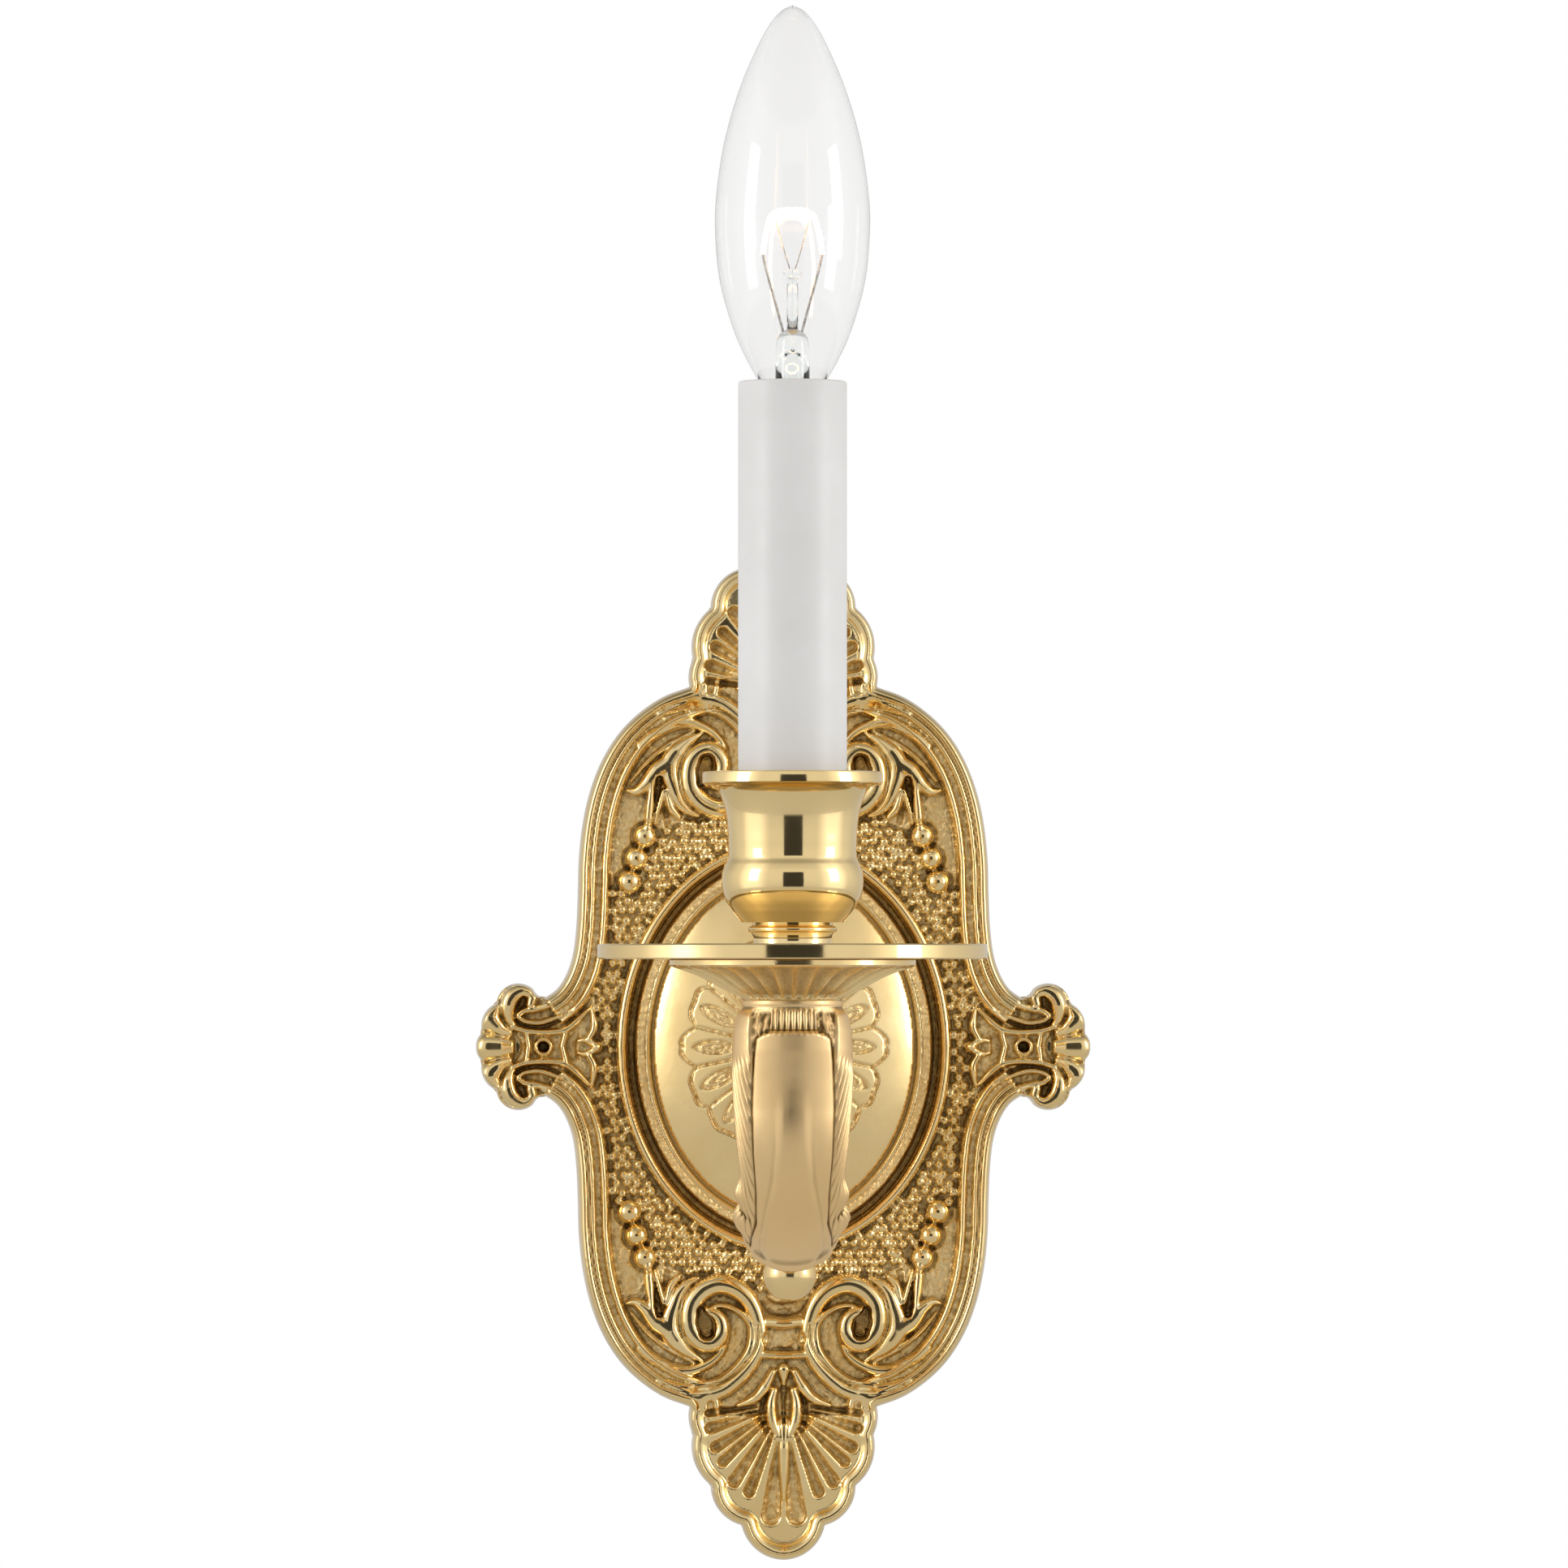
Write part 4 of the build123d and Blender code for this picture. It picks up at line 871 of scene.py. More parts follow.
def build_plate():
    """The plate's front over a fine grid, cut into dome, upper and lower pieces, and its edge strip."""
    edge, body_start, shell_start = quarter_edge()
    a, b = quarter_grid(GRID)
    runs = [edge[: body_start + 1], edge[body_start : shell_start + 1], edge[shell_start:]]
    distances = np.array([to_line(a, b, run)[0] for run in runs])
    nearest = np.argmin(distances, axis=0)
    depth = np.where(inside(a, b, edge), 1, -1) * distances.min(axis=0)
    reach = np.array(EDGE_REACH)[nearest]
    relief, beaded = shape_quarter(a, b, depth, nearest)
    clear = box_blur(beaded.astype(float), 2) > 0.7

    x, z = unfold(a, -1, 1), unfold(b, 1, -1)
    pebble = beads(x, z, clear)
    h = unfold(relief.h)
    h = np.where(pebble > 0, np.maximum(h, BEAD_FLOOR - 0.2 + BEAD_RISE * pebble), h)
    ground = unfold(relief.ground) * (1 - np.clip(pebble * 1.5, 0, 1))
    grain = box_blur(rng.normal(0, 1, h.shape), 1)
    h = h + np.clip(ground, 0, 1) * GRAIN * grain
    # painted shade: the gaps between the beads, and every place lower than the mean round it, are darkened in
    # the material
    gap = unfold(beaded.astype(float)) * np.clip(1 - 2.2 * pebble, 0, 1)
    painted_shade = box_blur(h, 5) - h + 0.8 * gap
    under = unfold(np.clip((reach - 0.35 - depth) / 0.4, 0, 1.5))
    h = h - under
    kept = unfold(depth) > 0.3
    quads = grid_faces(*x.shape)
    quads = quads[kept.ravel()[quads].all(axis=1)]
    vertices = np.stack([x, -h, z], -1).reshape(-1, 3)
    in_oval = oval_distance(abs(x), abs(z), *BEAD_OVAL).ravel()[quads].mean(axis=1) < -2.0
    upper = z.ravel()[quads].mean(axis=1) > 0
    parts = {
        "plate_dome": in_oval,
        "plate_front_upper": ~in_oval & upper,
        "plate_front_lower": ~in_oval & ~upper,
    }
    for name, chosen in parts.items():
        material = DOME_CAST if name == "plate_dome" else CAST
        used, compact = np.unique(quads[chosen], return_inverse=True)
        faces = compact.reshape(-1, 4)
        pricked, low = ground.ravel()[used], painted_shade.ravel()[used]
        cast_piece(name, vertices[used], faces, "back_plate", pricked, low, material)
    build_plate_edge(edge, body_start, shell_start, depth, relief.h)


def build_plate_edge(edge, body_start, shell_start, depth, height):
    """The plate's side wall and rounded edge, as one strip round the whole outline."""
    kinds = np.repeat([0, 1, 2], [body_start, shell_start - body_start, len(edge) - shell_start])
    loop = np.vstack([edge, edge[-2::-1] * (-1, 1), edge[1:] * (-1, -1), edge[-2:0:-1] * (1, -1)])
    kinds = np.concatenate([kinds, kinds[-2::-1], kinds[1:], kinds[-2:0:-1]])
    loop, kinds = np.vstack([loop, loop[:1]]), np.r_[kinds, kinds[0]]
    s = run_lengths(loop)
    even = np.arange(0, s[-1], EDGE_STEP)
    px, pz = resample(loop, even, s).T
    reach = np.interp(even, s, np.array(EDGE_REACH)[kinds])
    round_by = np.interp(even, s, np.array(EDGE_ROUND)[kinds])
    tx, tz = np.roll(px, -1) - np.roll(px, 1), np.roll(pz, -1) - np.roll(pz, 1)
    length = np.hypot(tx, tz)
    nx, nz = -tz / length, tx / length
    rows = []
    for u in (0, 0, 0.01, 0.03, 0.07, 0.13, 0.22, 0.34, 0.48, 0.62, 0.76, 0.88, 0.96, 1.04):
        d = u * reach
        x, z = px + nx * d, pz + nz * d
        true_depth = np.minimum(np.maximum(read_quarter(depth, x, z), 0), d)
        h = rounded_edge(true_depth, round_by)
        if u > 0.3:
            h = np.minimum(h, read_quarter(height, x, z) + 0.03)
        if u > 0.9:
            h = h - 1.2 * (u - 0.9) / 0.14
        rows.append(np.column_stack([x, -h if len(rows) else 0 * h, z]))
    vertices = np.vstack(rows)
    plain = np.zeros(len(vertices))
    faces = grid_faces(len(rows), len(px), wrap=True)
    cast_piece("plate_edge", vertices, faces, "back_plate", plain, plain)


def build_plate_back():
    """The casting's rough hollow back, at a coarser spacing."""
    edge, _, _ = quarter_edge()
    a, b = quarter_grid(BACK_GRID)
    depth, _ = to_line(a, b, edge)
    depth = np.where(inside(a, b, edge), depth, -depth)
    pocket = 3.0 * ramp(depth - 4.6, 1.2) * (b < 72) * (a < 42)
    dome = 5.4 * np.clip(-oval_distance(a, b, 27, 34) / 1.5, 0, 1)
    pad = 10.4 * np.clip(-oval_distance(a, b, 16.5, 21.5) / 1.5, 0, 1)
    shell = 1.8 * ramp(depth - 3.5, 1.5) * (b > 76)
    h = np.maximum.reduce([pocket, dome, pad, shell])
    x, z, h, depth = unfold(a, -1, 1), unfold(b, 1, -1), unfold(h), unfold(depth)
    h = h + 0.12 * rng.normal(0, 1, h.shape) * (depth > 0.8)
    outside = depth < 0.3
    na, nb = onto_line(abs(x[outside]), abs(z[outside]), edge)
    x[outside], z[outside], h[outside] = np.sign(x[outside]) * na, np.sign(z[outside]) * nb, 0.0
    quads = grid_faces(*x.shape)
    quads = quads[(~outside.ravel())[quads].any(axis=1)][:, ::-1]
    used, compact = np.unique(quads, return_inverse=True)
    vertices = np.stack([x, -np.maximum(h, 0), z], -1).reshape(-1, 3)[used]
    # the whole back is pricked, and painted with the same share of shade everywhere
    rough = np.ones(len(used))
    cast_piece("plate_back", vertices, compact.reshape(-1, 4), "back_plate", rough, 0.7 * rough)


# ---- arm -----------------------------------------------------------------------------------------
ARM_DROP_Y = 22.0  # where the arm turns down
ARM_DROP_R = 10.0
ARM_BOW_R = 28.0
ARM_BOW_Z = -12.5
ARM_ROOT = ARM_HIGH[1]
ARM_LINE_STEP = 0.16  # between the points of its centre line


def arm_centre_line():
    """Points of the arm's centre line (y, z) from the plate to the candle, and its direction at each."""
    fall_y = -ARM_DROP_Y - ARM_DROP_R
    bow_y = fall_y - ARM_BOW_R
    quarter = np.linspace(0, pi / 2, ceil(ARM_DROP_R * pi / 2 / ARM_LINE_STEP))
    half = np.linspace(0, pi, ceil(ARM_BOW_R * pi / ARM_LINE_STEP))
    root = np.arange(ARM_ROOT, -ARM_DROP_Y, -ARM_LINE_STEP)
    runs = [
        np.column_stack([root, 0 * root]),
        np.column_stack([-ARM_DROP_Y - ARM_DROP_R * np.sin(quarter), -ARM_DROP_R * (1 - np.cos(quarter))]),
        np.column_stack([bow_y + ARM_BOW_R * np.cos(half), ARM_BOW_Z - ARM_BOW_R * np.sin(half)]),
    ]
    rise = np.arange(ARM_BOW_Z + ARM_LINE_STEP, ARM_HIGH[2], ARM_LINE_STEP)
    runs.append(np.column_stack([0 * rise - REACH, rise]))
    line = np.vstack(runs)
    gap = np.hypot(*np.diff(line, axis=0).T)
    line = line[np.r_[True, gap > 1e-3]]
    direction = np.gradient(line, axis=0)
    direction /= np.linalg.norm(direction, axis=1)[:, None]
    return line, direction


ARM_STEP = 0.46  # between the arm's rings of vertices
ARM_COLUMNS = 300
ARM_SECTIONS = [  # distance down from the fluted cup's seat, half width, half depth
    (0, 10.3, 9.8), (1.5, 10.5, 9.9), (3, 11.4, 10.2), (6, 12.2, 10.3), (10, 12.4, 10.0), (16, 12.2, 9.2),
    (22, 11.9, 8.6), (30, 11.2, 8.2), (37, 10.4, 7.8), (42, 10.3, 7.6), (48, 10.2, 7.5), (53, 9.9, 7.3),
    (55, 9.3, 7.0), (57, 7.4, 6.3), (60, 6.4, 6.0), (80, 6.2, 6.0), (100, 6.3, 6.2), (120, 6.0, 6.0),
    (140, 6.0, 6.0),
]
TONGUE = [  # distance down, half width of the smooth tongue on the arm's front
    (6.2, 0), (6.5, 5.2), (7.6, 7.2), (12, 7.5), (22, 7.7), (30, 7.5), (38, 6.9), (44, 6.7), (49, 7.8),
    (53, 8.2), (55.5, 6.4), (57, 0),
]
PEAR = [(18, 2.4), (28, 2.6), (34, 3.1), (40, 4.3), (46, 5.2), (50, 5.2), (53, 4.2), (56, 2.0)]
NOTCHES = [(2, 9.9), (5, 9.7), (9, 9.4), (13, 8.8), (18, 7.6)]  # distance down, how far round they go
VEIN_PITCH = 1.5


def read_table(down, table, column=1):
    """A table's value at each distance down the arm."""
    columns = np.array(table, float).T
    return np.interp(down, columns[0], columns[column])


def raise_tongue(offset, down, border):
    """The smooth tongue down the front, with a groove round it. border is the distance outside it."""
    on_tongue = (down > TONGUE[0][0]) & (down < TONGUE[-1][0])
    offset += np.where(on_tongue, 0.55 * np.clip(0.5 - border / 0.8, 0, 1), 0)
    offset -= np.where(on_tongue, 0.45 * hump(border - 0.7, 0.4), 0)


def swell_tongue(offset, down, round_by):
    """A pear-shaped swelling low on the tongue."""
    rise = 0.5 * ramp(down - 18, 14) * ramp(56 - down, 2)
    side = np.clip(0.5 + (read_table(down, PEAR) - round_by) / 1.8, 0, 1)
    offset += rise * side**2 * (3 - 2 * side)


def rope_veins(offset, ground, down, away, border):
    """Roped veins on both sides of the tongue, running steeply down towards it."""
    front_side = ramp(border - 0.9, 0.5) * ramp(2.3 - away, 0.25)
    beside = front_side * ramp(down - 11, 4) * ramp(54 - down, 2)
    phase = (border + 0.45 * down) * 2 * pi
    offset += beside * (0.34 * np.sin(phase / VEIN_PITCH) - 0.05)
    np.maximum(ground, 0.35 * beside, out=ground)


def notch_seat(offset, ground, down, round_by, tongue):
    """Pricked notches and short flutes under the seat."""
    notch_in = np.where(down < 6.4, 4.4, tongue + 0.2)
    notch = ramp(round_by - notch_in, 0.4) * ramp(read_table(down, NOTCHES) - round_by, 0.4)
    notch = notch * ramp(down - 2.0, 0.5) * (down < 18)
    grain = box_blur(rng.normal(0, 1, offset.shape), 1)
    offset += notch * (0.4 * grain - 0.75)
    np.maximum(ground, notch, out=ground)
    flutes = ramp(4.6 - round_by, 0.4) * ramp(down - 1.8, 0.5) * ramp(6.6 - down, 0.4)
    offset += flutes * (0.22 * np.cos(round_by * 2 * pi / 1.15) - 0.25)


def lap_leaf(offset, down, turn, away):
    """A leaf lapped round the back of the bow."""
    leaf = ramp(away - 2.3, 0.2) * (down > 6) * (down < 118)
    offset += leaf * (0.3 * np.cos((away - pi) * 6) + 0.12 * np.sin(down * 2 * pi / 6.0 + away * 3))
    behind = ramp(down - 58, 3) * ramp(118 - down, 6)
    offset += behind * (0.35 * np.cos(turn * 8) + 0.25 * np.sin(down * 2 * pi / 8.0 - away * 2))


def curl_lobes(offset, down, away):
    """Curled lobes on both sides low on the bow, and the lip that ends the tongue."""
    for middle, swell, spread in ((40.5, 1.3, 2.4), (47.5, 1.7, 2.8)):
        offset += swell * hump(away - 1.5, 0.42) * hump(down - middle, spread)
    offset -= 0.8 * hump(down - 44.3, 0.7) * hump(away - 1.5, 0.4)
    offset += 0.7 * hump(down - 54.2, 1.3) * np.clip(2.0 - away, 0, 1)


def turn_rings(offset, down, root):
    """Turned rings at the root and a collar under the cup. root is the distance from the plate's end."""
    offset += 2.8 * hump(root - 1.0, 1.1, 4) + 1.3 * hump(root - 3.6, 0.7, 4)
    offset += 0.5 * hump(root - 6.4, 0.6)
    offset -= 0.35 * hump(down - 1.5, 0.4)


def build_arm():
    """The arm as rings of vertices round its centre line, pushed in and out."""
    line, direction = arm_centre_line()
    length = run_lengths(line)
    even = np.linspace(0, length[-1], int(length[-1] / ARM_STEP))
    line, direction = resample(line, even, length), resample(direction, even, length)
    direction /= np.linalg.norm(direction, axis=1)[:, None]
    root = run_lengths(line)[:, None]
    down = root[-1] - root
    turn = np.linspace(-pi, pi, ARM_COLUMNS, endpoint=False)[None, :]  # 0 faces out of the bow
    away = abs(turn)
    half_wide, half_deep = read_table(down, ARM_SECTIONS, 1), read_table(down, ARM_SECTIONS, 2)
    round_by = away * (half_wide + half_deep) / 2  # distance round from the front's middle
    tongue = read_table(down, TONGUE)
    offset = np.zeros(round_by.shape)
    ground = np.zeros(round_by.shape)
    raise_tongue(offset, down, round_by - tongue)
    swell_tongue(offset, down, round_by)
    rope_veins(offset, ground, down, away, round_by - tongue)
    notch_seat(offset, ground, down, round_by, tongue)
    lap_leaf(offset, down, turn, away)
    curl_lobes(offset, down, away)
    turn_rings(offset, down, root)

    # painted shade where the arm's surface lies below its surroundings
    painted_shade = np.clip(box_blur(offset, 5) - offset, -1, 1) * 1.4
    across = (half_wide + offset) * np.sin(turn)
    outward = (half_deep + offset) * np.cos(turn)
    y = line[:, :1] - outward * direction[:, 1:]
    z = line[:, 1:] + outward * direction[:, :1]
    vertices = np.stack([across, y, z], -1).reshape(-1, 3)
    faces = grid_faces(*offset.shape, wrap=True)
    cast_piece("arm_casting", vertices, faces, "arm", np.clip(ground, 0, 1).ravel(), painted_shade.ravel(), ARM_CAST)


BALL_Y = -62.0


def build_ball():
    """The ball under the bow, on a short waisted neck."""
    bottom = ARM_LOW[2]
    radius = 5.6
    centre_z = bottom + radius
    turns = np.linspace(-pi / 2, pi / 2 - 0.62, 40)
    profile = [(radius * cos(t), centre_z + radius * sin(t)) for t in turns]
    profile += above(centre_z, (3.4, 4.5), (3.6, 5.2), (4.6, 5.8), (4.8, 6.6), (3.0, 7.4))
    centre = np.array([0, BALL_Y, 0])
    kinds = {"replaces": ("arm",), "slot": "cast_brass"}
    piece = turned("arm_ball", profile, "fixture", CAST, centre=centre, segments=72, **kinds)
    for key in ("ground", "painted_shade"):
        piece.data.attributes.new(key, "FLOAT", "POINT")


# ---- turned pieces -------------------------------------------------------------------------------


FLUTES = 30


def build_fluted_cup():
    """The cup under the pan: a flared bell with hollow flutes and a plain lip."""
    rim, base, top = FLUTED_HIGH[0], FLUTED_LOW[2], FLUTED_HIGH[2]
    bell = above(base, (10.2, 0), (11.2, 0.8), (14.4, 2.3), (19.4, 4.9)) + [(24.5, top - 1.75)]
    profile = [(9.0, base)] + [tuple(p) for p in smooth_line(bell, 14)]
    profile += above(top, (24.9, -1.5), (rim, -1.2), (rim, -0.25), (rim - 0.3, 0), (10.0, 0))

    def flute(radius, height, turn):
        start = ramp(height - base - 0.3, 1.0)
        end = ramp(top - 1.55 - height, 0.5)
        scallop = abs(np.cos(turn * FLUTES / 2)) ** 0.8
        return radius * (1 - 0.14 * start * end * scallop)

    piece = turned(
        "fluted_cup_casting", profile, "fixture", CAST, segments=816, wave=flute,
        replaces=("fluted_cup",), slot="cast_brass", sharp=50,
    )
    heights = np.array([v.co.z for v in piece.data.vertices]) / MM
    angle = np.array([atan2(v.co.y / MM + REACH, v.co.x / MM) for v in piece.data.vertices])
    # the flutes' hollows get pricked grain and painted shade alike
    low = abs(np.cos(angle * FLUTES / 2)) ** 0.8 * (heights < top - 1.6) * (heights > base + 0.3)
    for key in ("ground", "painted_shade"):
        pricked = piece.data.attributes.new(key, "FLOAT", "POINT")
        pricked.data.foreach_set("value", (low * 0.9).astype(np.float32))


def turned_brass_piece(name, profile, node, segments, sharp):
    """A plain brass turning on the candle's axis."""
    kinds = {"replaces": (node,), "slot": "turned_brass", "sharp": sharp}
    turned(name, profile, "fixture", TURNED, segments=segments, **kinds)


def build_pan():
    """The flat drip pan, with a low rim and a slightly sunk floor."""
    rim, low, high = PAN_HIGH[0], PAN_LOW[2], PAN_HIGH[2]
    pan = above(low, (5.2, 0), (rim - 0.25, 0), (rim, 0.25))
    pan += above(high, (rim, -0.3), (rim - 0.3, 0), (rim - 2.0, 0), (rim - 2.6, -0.4), (rim - 3.6, -1.2))
    pan += above(high, (30, -1.35), (16, -1.1), (10.6, -0.1), (9.4, 0), (5.2, 0))
    turned_brass_piece("drip_pan_turning", pan, "drip_pan", 256, sharp=32)


def build_ring():
    """The neck ring, with a bulge between two fillets."""
    low, high = RING_LOW[2], RING_HIGH[2]
    ring = above(low, (5.2, 0), (8.3, 0), (8.15, 0.5), (8.05, 1.2), (8.3, 2.0))
    bulge = np.linspace(-pi / 2, pi / 2, 14)
    ring += [(8.5 + 0.6 * cos(t), low + 3.0 + 0.62 * sin(t)) for t in bulge]
    ring += above(high, (8.2, -0.6), (8.3, 0), (5.2, 0))
    turned_brass_piece("neck_ring_turning", ring, "neck_ring", 160, sharp=40)


def build_cup():
    """The candle cup: belly, waist and a flaring lip outside, a plain bore inside."""
    low, high, rim = CUP_LOW[2], CUP_HIGH[2], CUP_HIGH[0]
    belly = [(10.4, 0), (11.5, 1.3), (12.6, 2.7), (13.8, 4.7), (14.5, 7.3), (14.5, 9.8), (14.0, 11.7)]
    waist = [(13.35, 13.1), (13.15, 14.6), (13.2, 16.6), (13.35, 19.6), (13.8, 22.8)]
    flare = [(14.9, 26.2), (15.7, 27.4), (16.9, 28.1)]
    outside = smooth_line(above(low, *belly, *waist, *flare), 10)
    cup = [(5.2, low)] + [tuple(p) for p in outside] + above(low, (rim - 0.5, 28.15), (rim, 28.6))
    cup += above(high, (rim, -0.45), (rim - 0.15, -0.15), (rim - 0.5, 0), (rim - 1.4, -0.05))
    cup += above(high, (15.2, -1.2), (12.6, -3.8), (11.75, -6.5))
    cup += above(low, (11.75, 4.9), (9.6, 4.9), (9.6, 2.5), (5.2, 2.5))
    turned_brass_piece("candle_cup_turning", cup, "candle_cup", 256, sharp=40)


def build_sleeve():
    """The candle sleeve's tube."""
    outer, low, high = SLEEVE_HIGH[0], SLEEVE_LOW[2], SLEEVE_HIGH[2]
    inner = outer - 0.95
    tube = [(inner, low), (outer, low)]
    tube += above(high, (outer, -0.4), (outer - 0.12, -0.12), (outer - 0.4, 0))
    tube += above(high, (inner + 0.2, 0), (inner, -0.25)) + [(inner, low)]
    kinds = {"replaces": ("candle_sleeve",), "slot": "sleeve_white", "sharp": 50}
    turned("sleeve_tube", tube, "sleeve", WHITE, segments=160, **kinds)


# ---- lamp ----------------------------------------------------------------------------------------


def build_bulb():
    """The torpedo bulb, with the thickness of its wall."""
    top, foot, widest = GLASS_HIGH[2], GLASS_LOW[2], GLASS_HIGH[0]
    neck = [(5.6, 0), (6.2, 1.8), (7.3, 4.2), (9.2, 7.6), (11.6, 12.8), (13.9, 19.8), (15.3, 26.6)]
    belly = [(widest, 35.4), (15.6, 42.0), (14.5, 50.0), (12.9, 57.0), (10.6, 64.2), (8.0, 70.4)]
    outline = above(foot, *neck, *belly, (5.2, 75.9), (2.6, 79.2)) + above(top, (0.9, -0.35), (0.02, 0))
    outside = smooth_line(outline)
    wall = np.clip((top - outside[:, 1]) / 3.0, 0.25, 1) * 0.55
    slope = np.gradient(outside, axis=0)
    normal = np.column_stack([slope[:, 1], -slope[:, 0]])
    normal /= np.linalg.norm(normal, axis=1)[:, None]
    within = outside - normal * wall[:, None]
    within[:, 0] = np.maximum(within[:, 0], 0.02)
    within[-1] = (0.02, top - 0.9)
    profile = np.vstack([outside, within[::-1], outside[:1]])
    kinds = {"replaces": ("lamp_envelope",), "slot": "lamp_glass"}
    turned("lamp_bulb", profile, "lamp", GLASS, segments=128, **kinds)


def build_stem():
    """The glass stem inside the lamp: flare, press and a rod with its button."""
    low, high = STEM_LOW[2], STEM_HIGH[2]
    press = high - 12.8
    shoulder = above(press, (3.5, -7), (3.4, -3), (2.9, -1), (1.9, 0), (1.15, 0.5))
    flare = smooth_line([(3.6, low)] + shoulder)
    rod = [(1.15, press + 6)]
    rod += above(high, (1.15, -1.8), (1.6, -1.4), (1.9, -0.8), (1.6, -0.2), (0.9, 0), (0.02, 0))
    inner = above(press, (0.02, -3.5), (1.6, -4.4), (2.5, -7)) + [(2.8, low), (3.6, low)]
    profile = [tuple(p) for p in flare] + rod + inner
    kinds = {"replaces": ("lamp_stem",), "slot": "stem_glass"}
    turned("lamp_flare", profile, "lamp", STEM_GLASS, segments=48, **kinds)


def coil(points, coil_radius, wire_radius, pitch, name, material, body, replaces, slot):
    """A fine coil of wire wound along a curve."""
    line = smooth_line(points, 24)
    lengths = run_lengths(line)
    s = np.linspace(0, lengths[-1], int(lengths[-1] / pitch * 10))
    centre = resample(line, s, lengths)
    direction = np.gradient(centre, axis=0)
    direction /= np.linalg.norm(direction, axis=1)[:, None]
    side = np.cross(direction, (0, 1, 0))
    side /= np.linalg.norm(side, axis=1)[:, None]
    up = np.cross(side, direction)
    turn = (s / pitch * 2 * pi)[:, None]
    helix = centre + coil_radius * (np.cos(turn) * side + np.sin(turn) * up)
    wire(name, helix, wire_radius, material, body, replaces, slot, sides=6)


def wire(name, line, radius, material, body, replaces, slot, sides=10):
    """A round wire along a line of points."""
    line = np.asarray(line, float)
    direction = np.gradient(line, axis=0)
    direction /= np.linalg.norm(direction, axis=1)[:, None]
    side = np.cross(direction, (0.05, 1, 0.02))
    side /= np.linalg.norm(side, axis=1)[:, None]
    up = np.cross(side, direction)
    turn = np.linspace(0, 2 * pi, sides, endpoint=False)[None, :, None]
    ring = line[:, None] + radius * (np.cos(turn) * side[:, None] + np.sin(turn) * up[:, None])
    faces = [list(f) for f in grid_faces(len(line), sides, wrap=True)]
    faces += [list(range(sides))[::-1], [(len(line) - 1) * sides + k for k in range(sides)]]
    make_piece(name, ring.reshape(-1, 3), faces, body, material, replaces=replaces, slot=slot)


def build_filament():
    """The arched coil, its two lead-ins and its two anchors."""
    low, high = span("lamp_filament")
    press = STEM_HIGH[2] - 12.6
    y = -REACH
    left, right, foot, top = low[0] + 0.6, high[0] - 0.6, low[2], high[2] - 0.5
    arch = [(left, y, foot + 0.6), (left + 0.9, y - 0.3, foot + 5.6), (left + 2.2, y - 0.4, top - 0.8)]
    arch += [(0, y, top), (right - 2.2, y + 0.4, top - 0.8), (right - 0.9, y + 0.3, foot + 5.6)]
    arch += [(right, y, foot + 0.6)]
    coil(arch, 0.4, 0.16, 0.5, "filament_coil", GLOW, "lamp", ("lamp_filament",), "filament_glow")
    for side, tip, name in ((-1, left, "lead_in_left"), (1, right, "lead_in_right")):
        line = [(side * 1.9, y, press - 0.4), (side * 2.8, y, press + 3.0)]
        line += [(tip * 0.86, y, foot - 3.0), (tip, y, foot + 0.9)]
        wire(name, smooth_line(line), 0.27, WIRE, "lamp", ("lamp_lead_ins",), "nickel_wire")
    for side, name in ((-1, "anchor_left"), (1, "anchor_right")):
        line = [(side * 0.4, y, STEM_HIGH[2] - 0.5), (side * 1.6, y, STEM_HIGH[2] + 3.4)]
        line += [(side * 3.6, y, top - 1.6)]
        wire(name, smooth_line(line), 0.13, WIRE, "lamp", ("lamp_anchors",), "nickel_wire", sides=8)


build_plate()
build_plate_back()
build_arm()
build_ball()
build_fluted_cup()
build_pan()
build_ring()
build_cup()
build_sleeve()
build_bulb()
build_stem()
build_filament()

# ---- carried-over hardware -----------------------------------------------------------------------
STEEL_NODES = (
    "mounting_strap", "ground_screw", "back_nipple", "strap_nut", "plate_nut",
    "plate_washer", "candle_nipple", "cup_nut", "socket_bracket", "bracket_rivet",
)
KEPT = {
    **dict.fromkeys(STEEL_NODES, STEEL),
    **dict.fromkeys(("socket_shell", "centre_contact", "lamp_base"), ROLLED),
    "socket_body": PHENOLIC,
    "socket_liner": liner_paper(),
    "hot_lead": BLACK_LEAD,
    "neutral_lead": WHITE_LEAD,
    "lamp_insulator": BLACK_GLASS,
    "lamp_contact": SOLDER,
}
for node, material in KEPT.items():
    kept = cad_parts[node]
    kept.data.materials.clear()
    kept.data.materials.append(material)

# ---- studio --------------------------------------------------------------------------------------
scene = bpy.context.scene
scene.view_settings.view_transform = "Standard"
CENTRE = Vector((0, -REACH / 2, (PLATE_LOW[2] + GLASS_HIGH[2]) / 2)) * MM


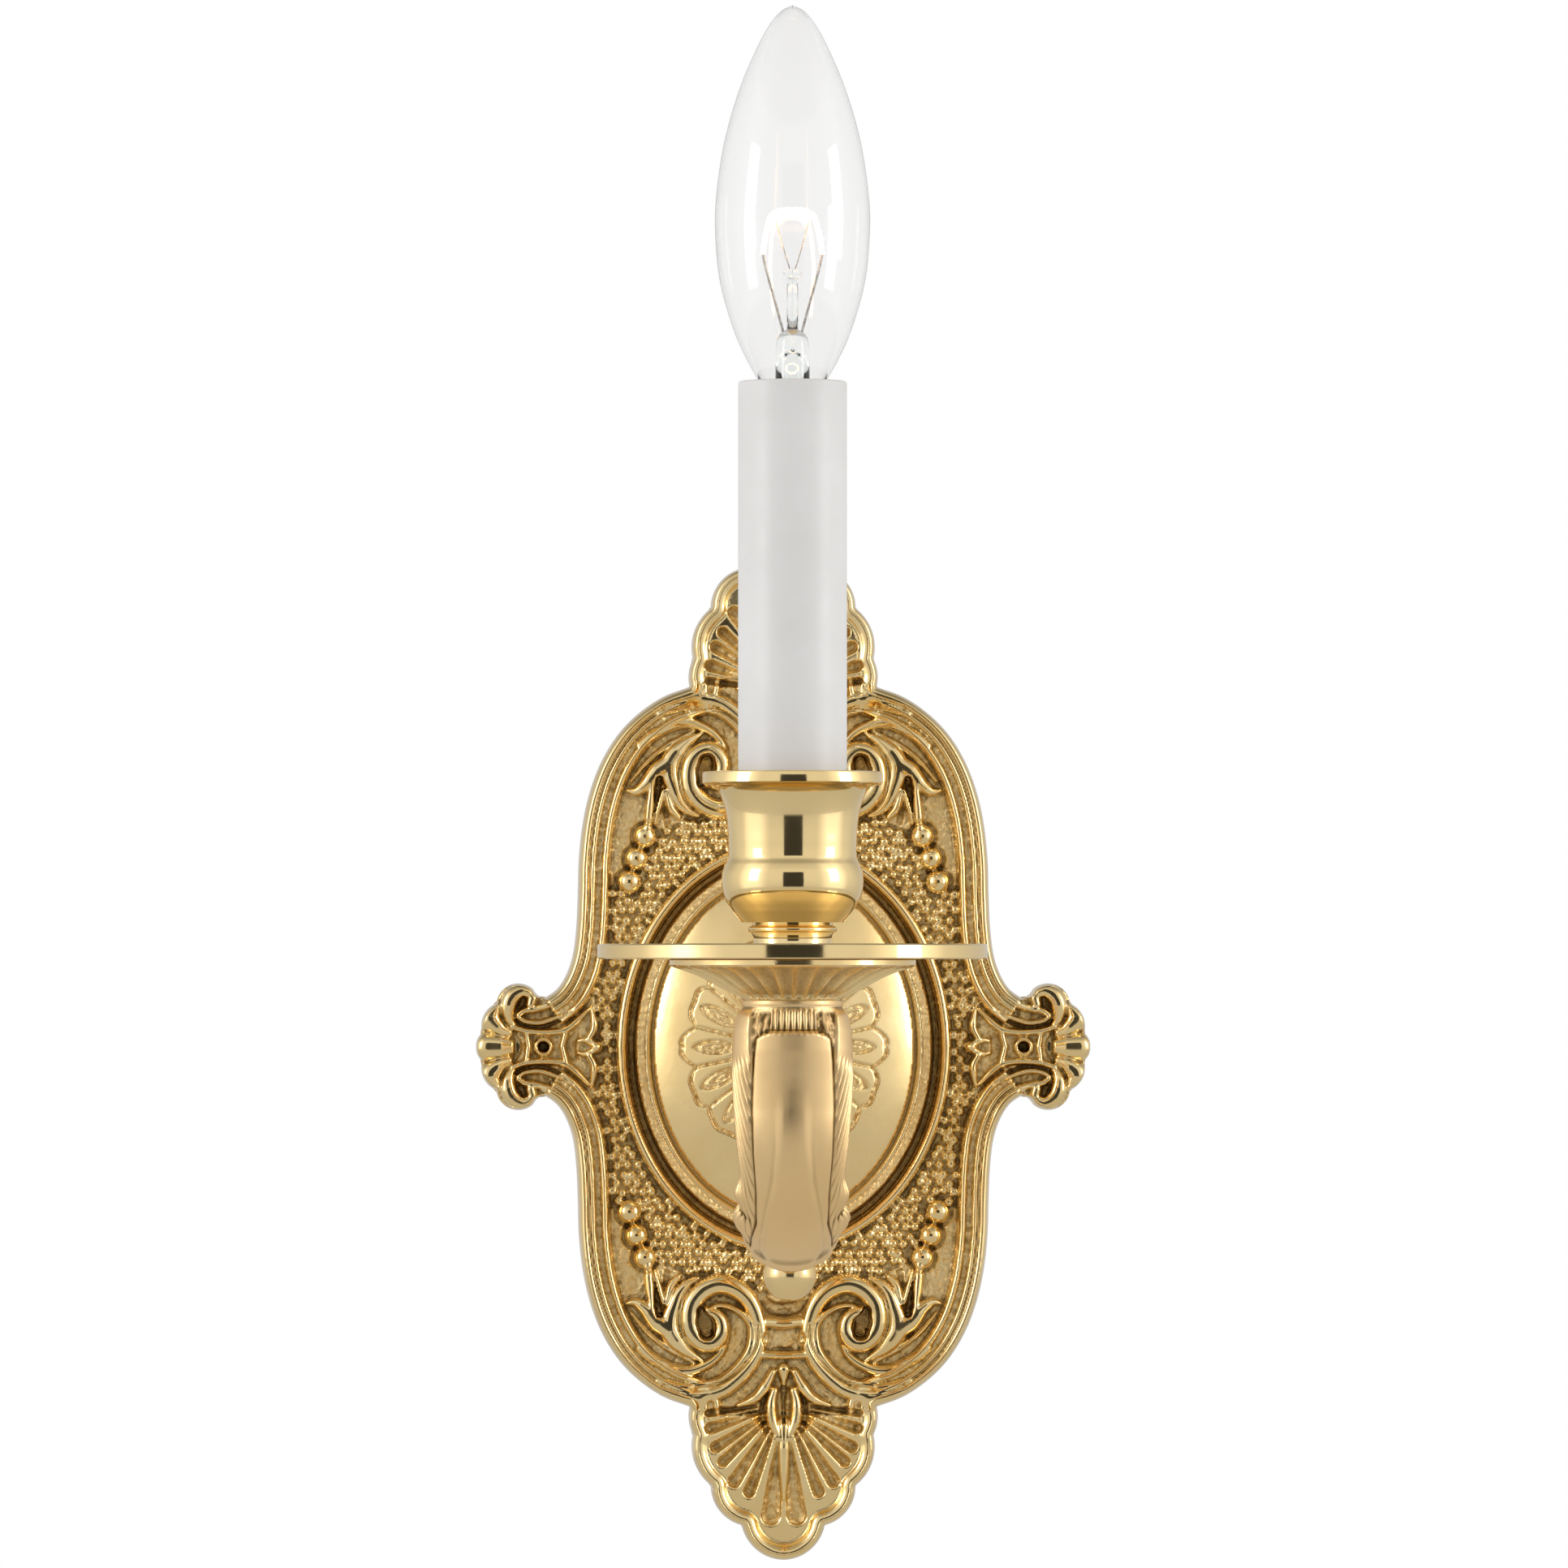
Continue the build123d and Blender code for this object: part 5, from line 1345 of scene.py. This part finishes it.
def build_world():
    """A white tent with a brighter panel at each side and a dark slot in front, where the camera looks in."""
    w = Nodes(bpy.data.worlds.new("studio"), "Background", "Generated")
    scene.world = w.owner
    math = w.math

    def step(value, low, high, to_low, to_high):
        return w.map(value, low, high, to_low, to_high, interpolation_type="SMOOTHSTEP")

    def dim(light, where, share):
        """Takes a share of the light away where a mask is 1."""
        return math("MULTIPLY", light, math("SUBTRACT", 1.0, math("MULTIPLY", where, share)))

    x, y, z = w.add("ShaderNodeSeparateXYZ", {"Vector": w.position}).outputs
    azimuth = math("DEGREES", math("ABSOLUTE", math("ARCTAN2", x, math("MULTIPLY", y, -1.0))))
    elevation = math("DEGREES", math("ARCSINE", z))
    height = math("ABSOLUTE", elevation)
    tent = step(elevation, -60.0, 12.0, 0.32, 0.84)
    tent = math("MULTIPLY", tent, step(elevation, 22.0, 65.0, 1.0, 0.45))
    panel = math("MULTIPLY", step(azimuth, 40.0, 66.0, 0.0, 1.0), step(azimuth, 82.0, 104.0, 1.0, 0.0))
    panel = math("MULTIPLY", panel, step(height, 28.0, 55.0, 1.0, 0.0))
    rear = math("MULTIPLY", step(azimuth, 100.0, 140.0, 0.0, 1.0), step(elevation, -10.0, 45.0, 0.35, 1.0))
    slot = math("MULTIPLY", step(azimuth, 16.3, 17.3, 1.0, 0.0), step(height, 21.0, 22.0, 1.0, 0.0))
    light = math("ADD", tent, math("MULTIPLY", panel, 0.55))
    light = dim(dim(light, rear, 0.55), slot, 0.94)
    # seen straight on or through the glass, the backdrop is white
    ray = w.add("ShaderNodeLightPath").outputs
    through = math("MAXIMUM", ray["Is Camera Ray"], math("MULTIPLY", ray["Is Transmission Ray"], 0.97))
    seen = math("ADD", math("MULTIPLY", light, math("SUBTRACT", 1.0, through)), through)
    tint = w.add("ShaderNodeCombineColor")
    for socket, share in zip(tint.inputs, (1.0, 0.99, 0.975)):
        whiter = math("ADD", share, math("MULTIPLY", through, 1.0 - share))
        w.feed(socket, math("MULTIPLY", seen, whiter))
    w.set(Color=tint.outputs[0], Strength=1.0)


def soft_box(name, position, size, power):
    """A lamp behind a wide screen, turned towards the sconce."""
    light = bpy.data.lights.new(name, "AREA")
    light.shape = "RECTANGLE"
    light.size, light.size_y = size
    light.energy = power
    lamp = bpy.data.objects.new(name, light)
    lamp.location = position
    lamp.rotation_euler = (CENTRE - Vector(position)).to_track_quat("-Z", "Y").to_euler()
    scene.collection.objects.link(lamp)


def build_floor():
    """A round sheet of pale paper under the sconce."""
    radius, level, corners = 0.8, (PLATE_LOW[2] - 60.0) * MM, 96
    turns = [2 * pi * k / corners for k in range(corners)]
    ring = [(radius * cos(t), radius * sin(t), level) for t in turns]
    mesh = bpy.data.meshes.new("floor")
    mesh.from_pydata(ring, [], [list(range(corners))])
    material = bpy.data.materials.new("floor_paper")
    material.use_nodes = True
    shader = material.node_tree.nodes["Principled BSDF"]
    shader.inputs["Base Color"].default_value = (0.86, 0.86, 0.85, 1)
    shader.inputs["Roughness"].default_value = 0.8
    mesh.materials.append(material)
    floor = bpy.data.objects.new("floor", mesh)
    scene.collection.objects.link(floor)


build_world()
build_floor()
soft_box("key_left", (-1.5, -0.7, 0.45), (0.5, 0.8), 5)
soft_box("key_right", (1.5, -0.6, 0.4), (0.5, 0.8), 5)

# ---- camera --------------------------------------------------------------------------------------
CAMERA_DISTANCE = 2.0  # from the candle axis
EYE_HEIGHT = 0.0156
SIDE_STEP = -0.046
camera_data = bpy.data.cameras.new("camera")
camera_data.sensor_width = 36.0
camera_data.lens = 224.2
camera_data.shift_y = 0.121
camera = bpy.data.objects.new("camera", camera_data)
camera.location = (SIDE_STEP, -REACH * MM - CAMERA_DISTANCE, EYE_HEIGHT)
camera.rotation_euler = (radians(90), 0, -atan2(-SIDE_STEP, CAMERA_DISTANCE) + radians(0.05))
camera_data.clip_start = 0.01
scene.collection.objects.link(camera)
scene.camera = camera
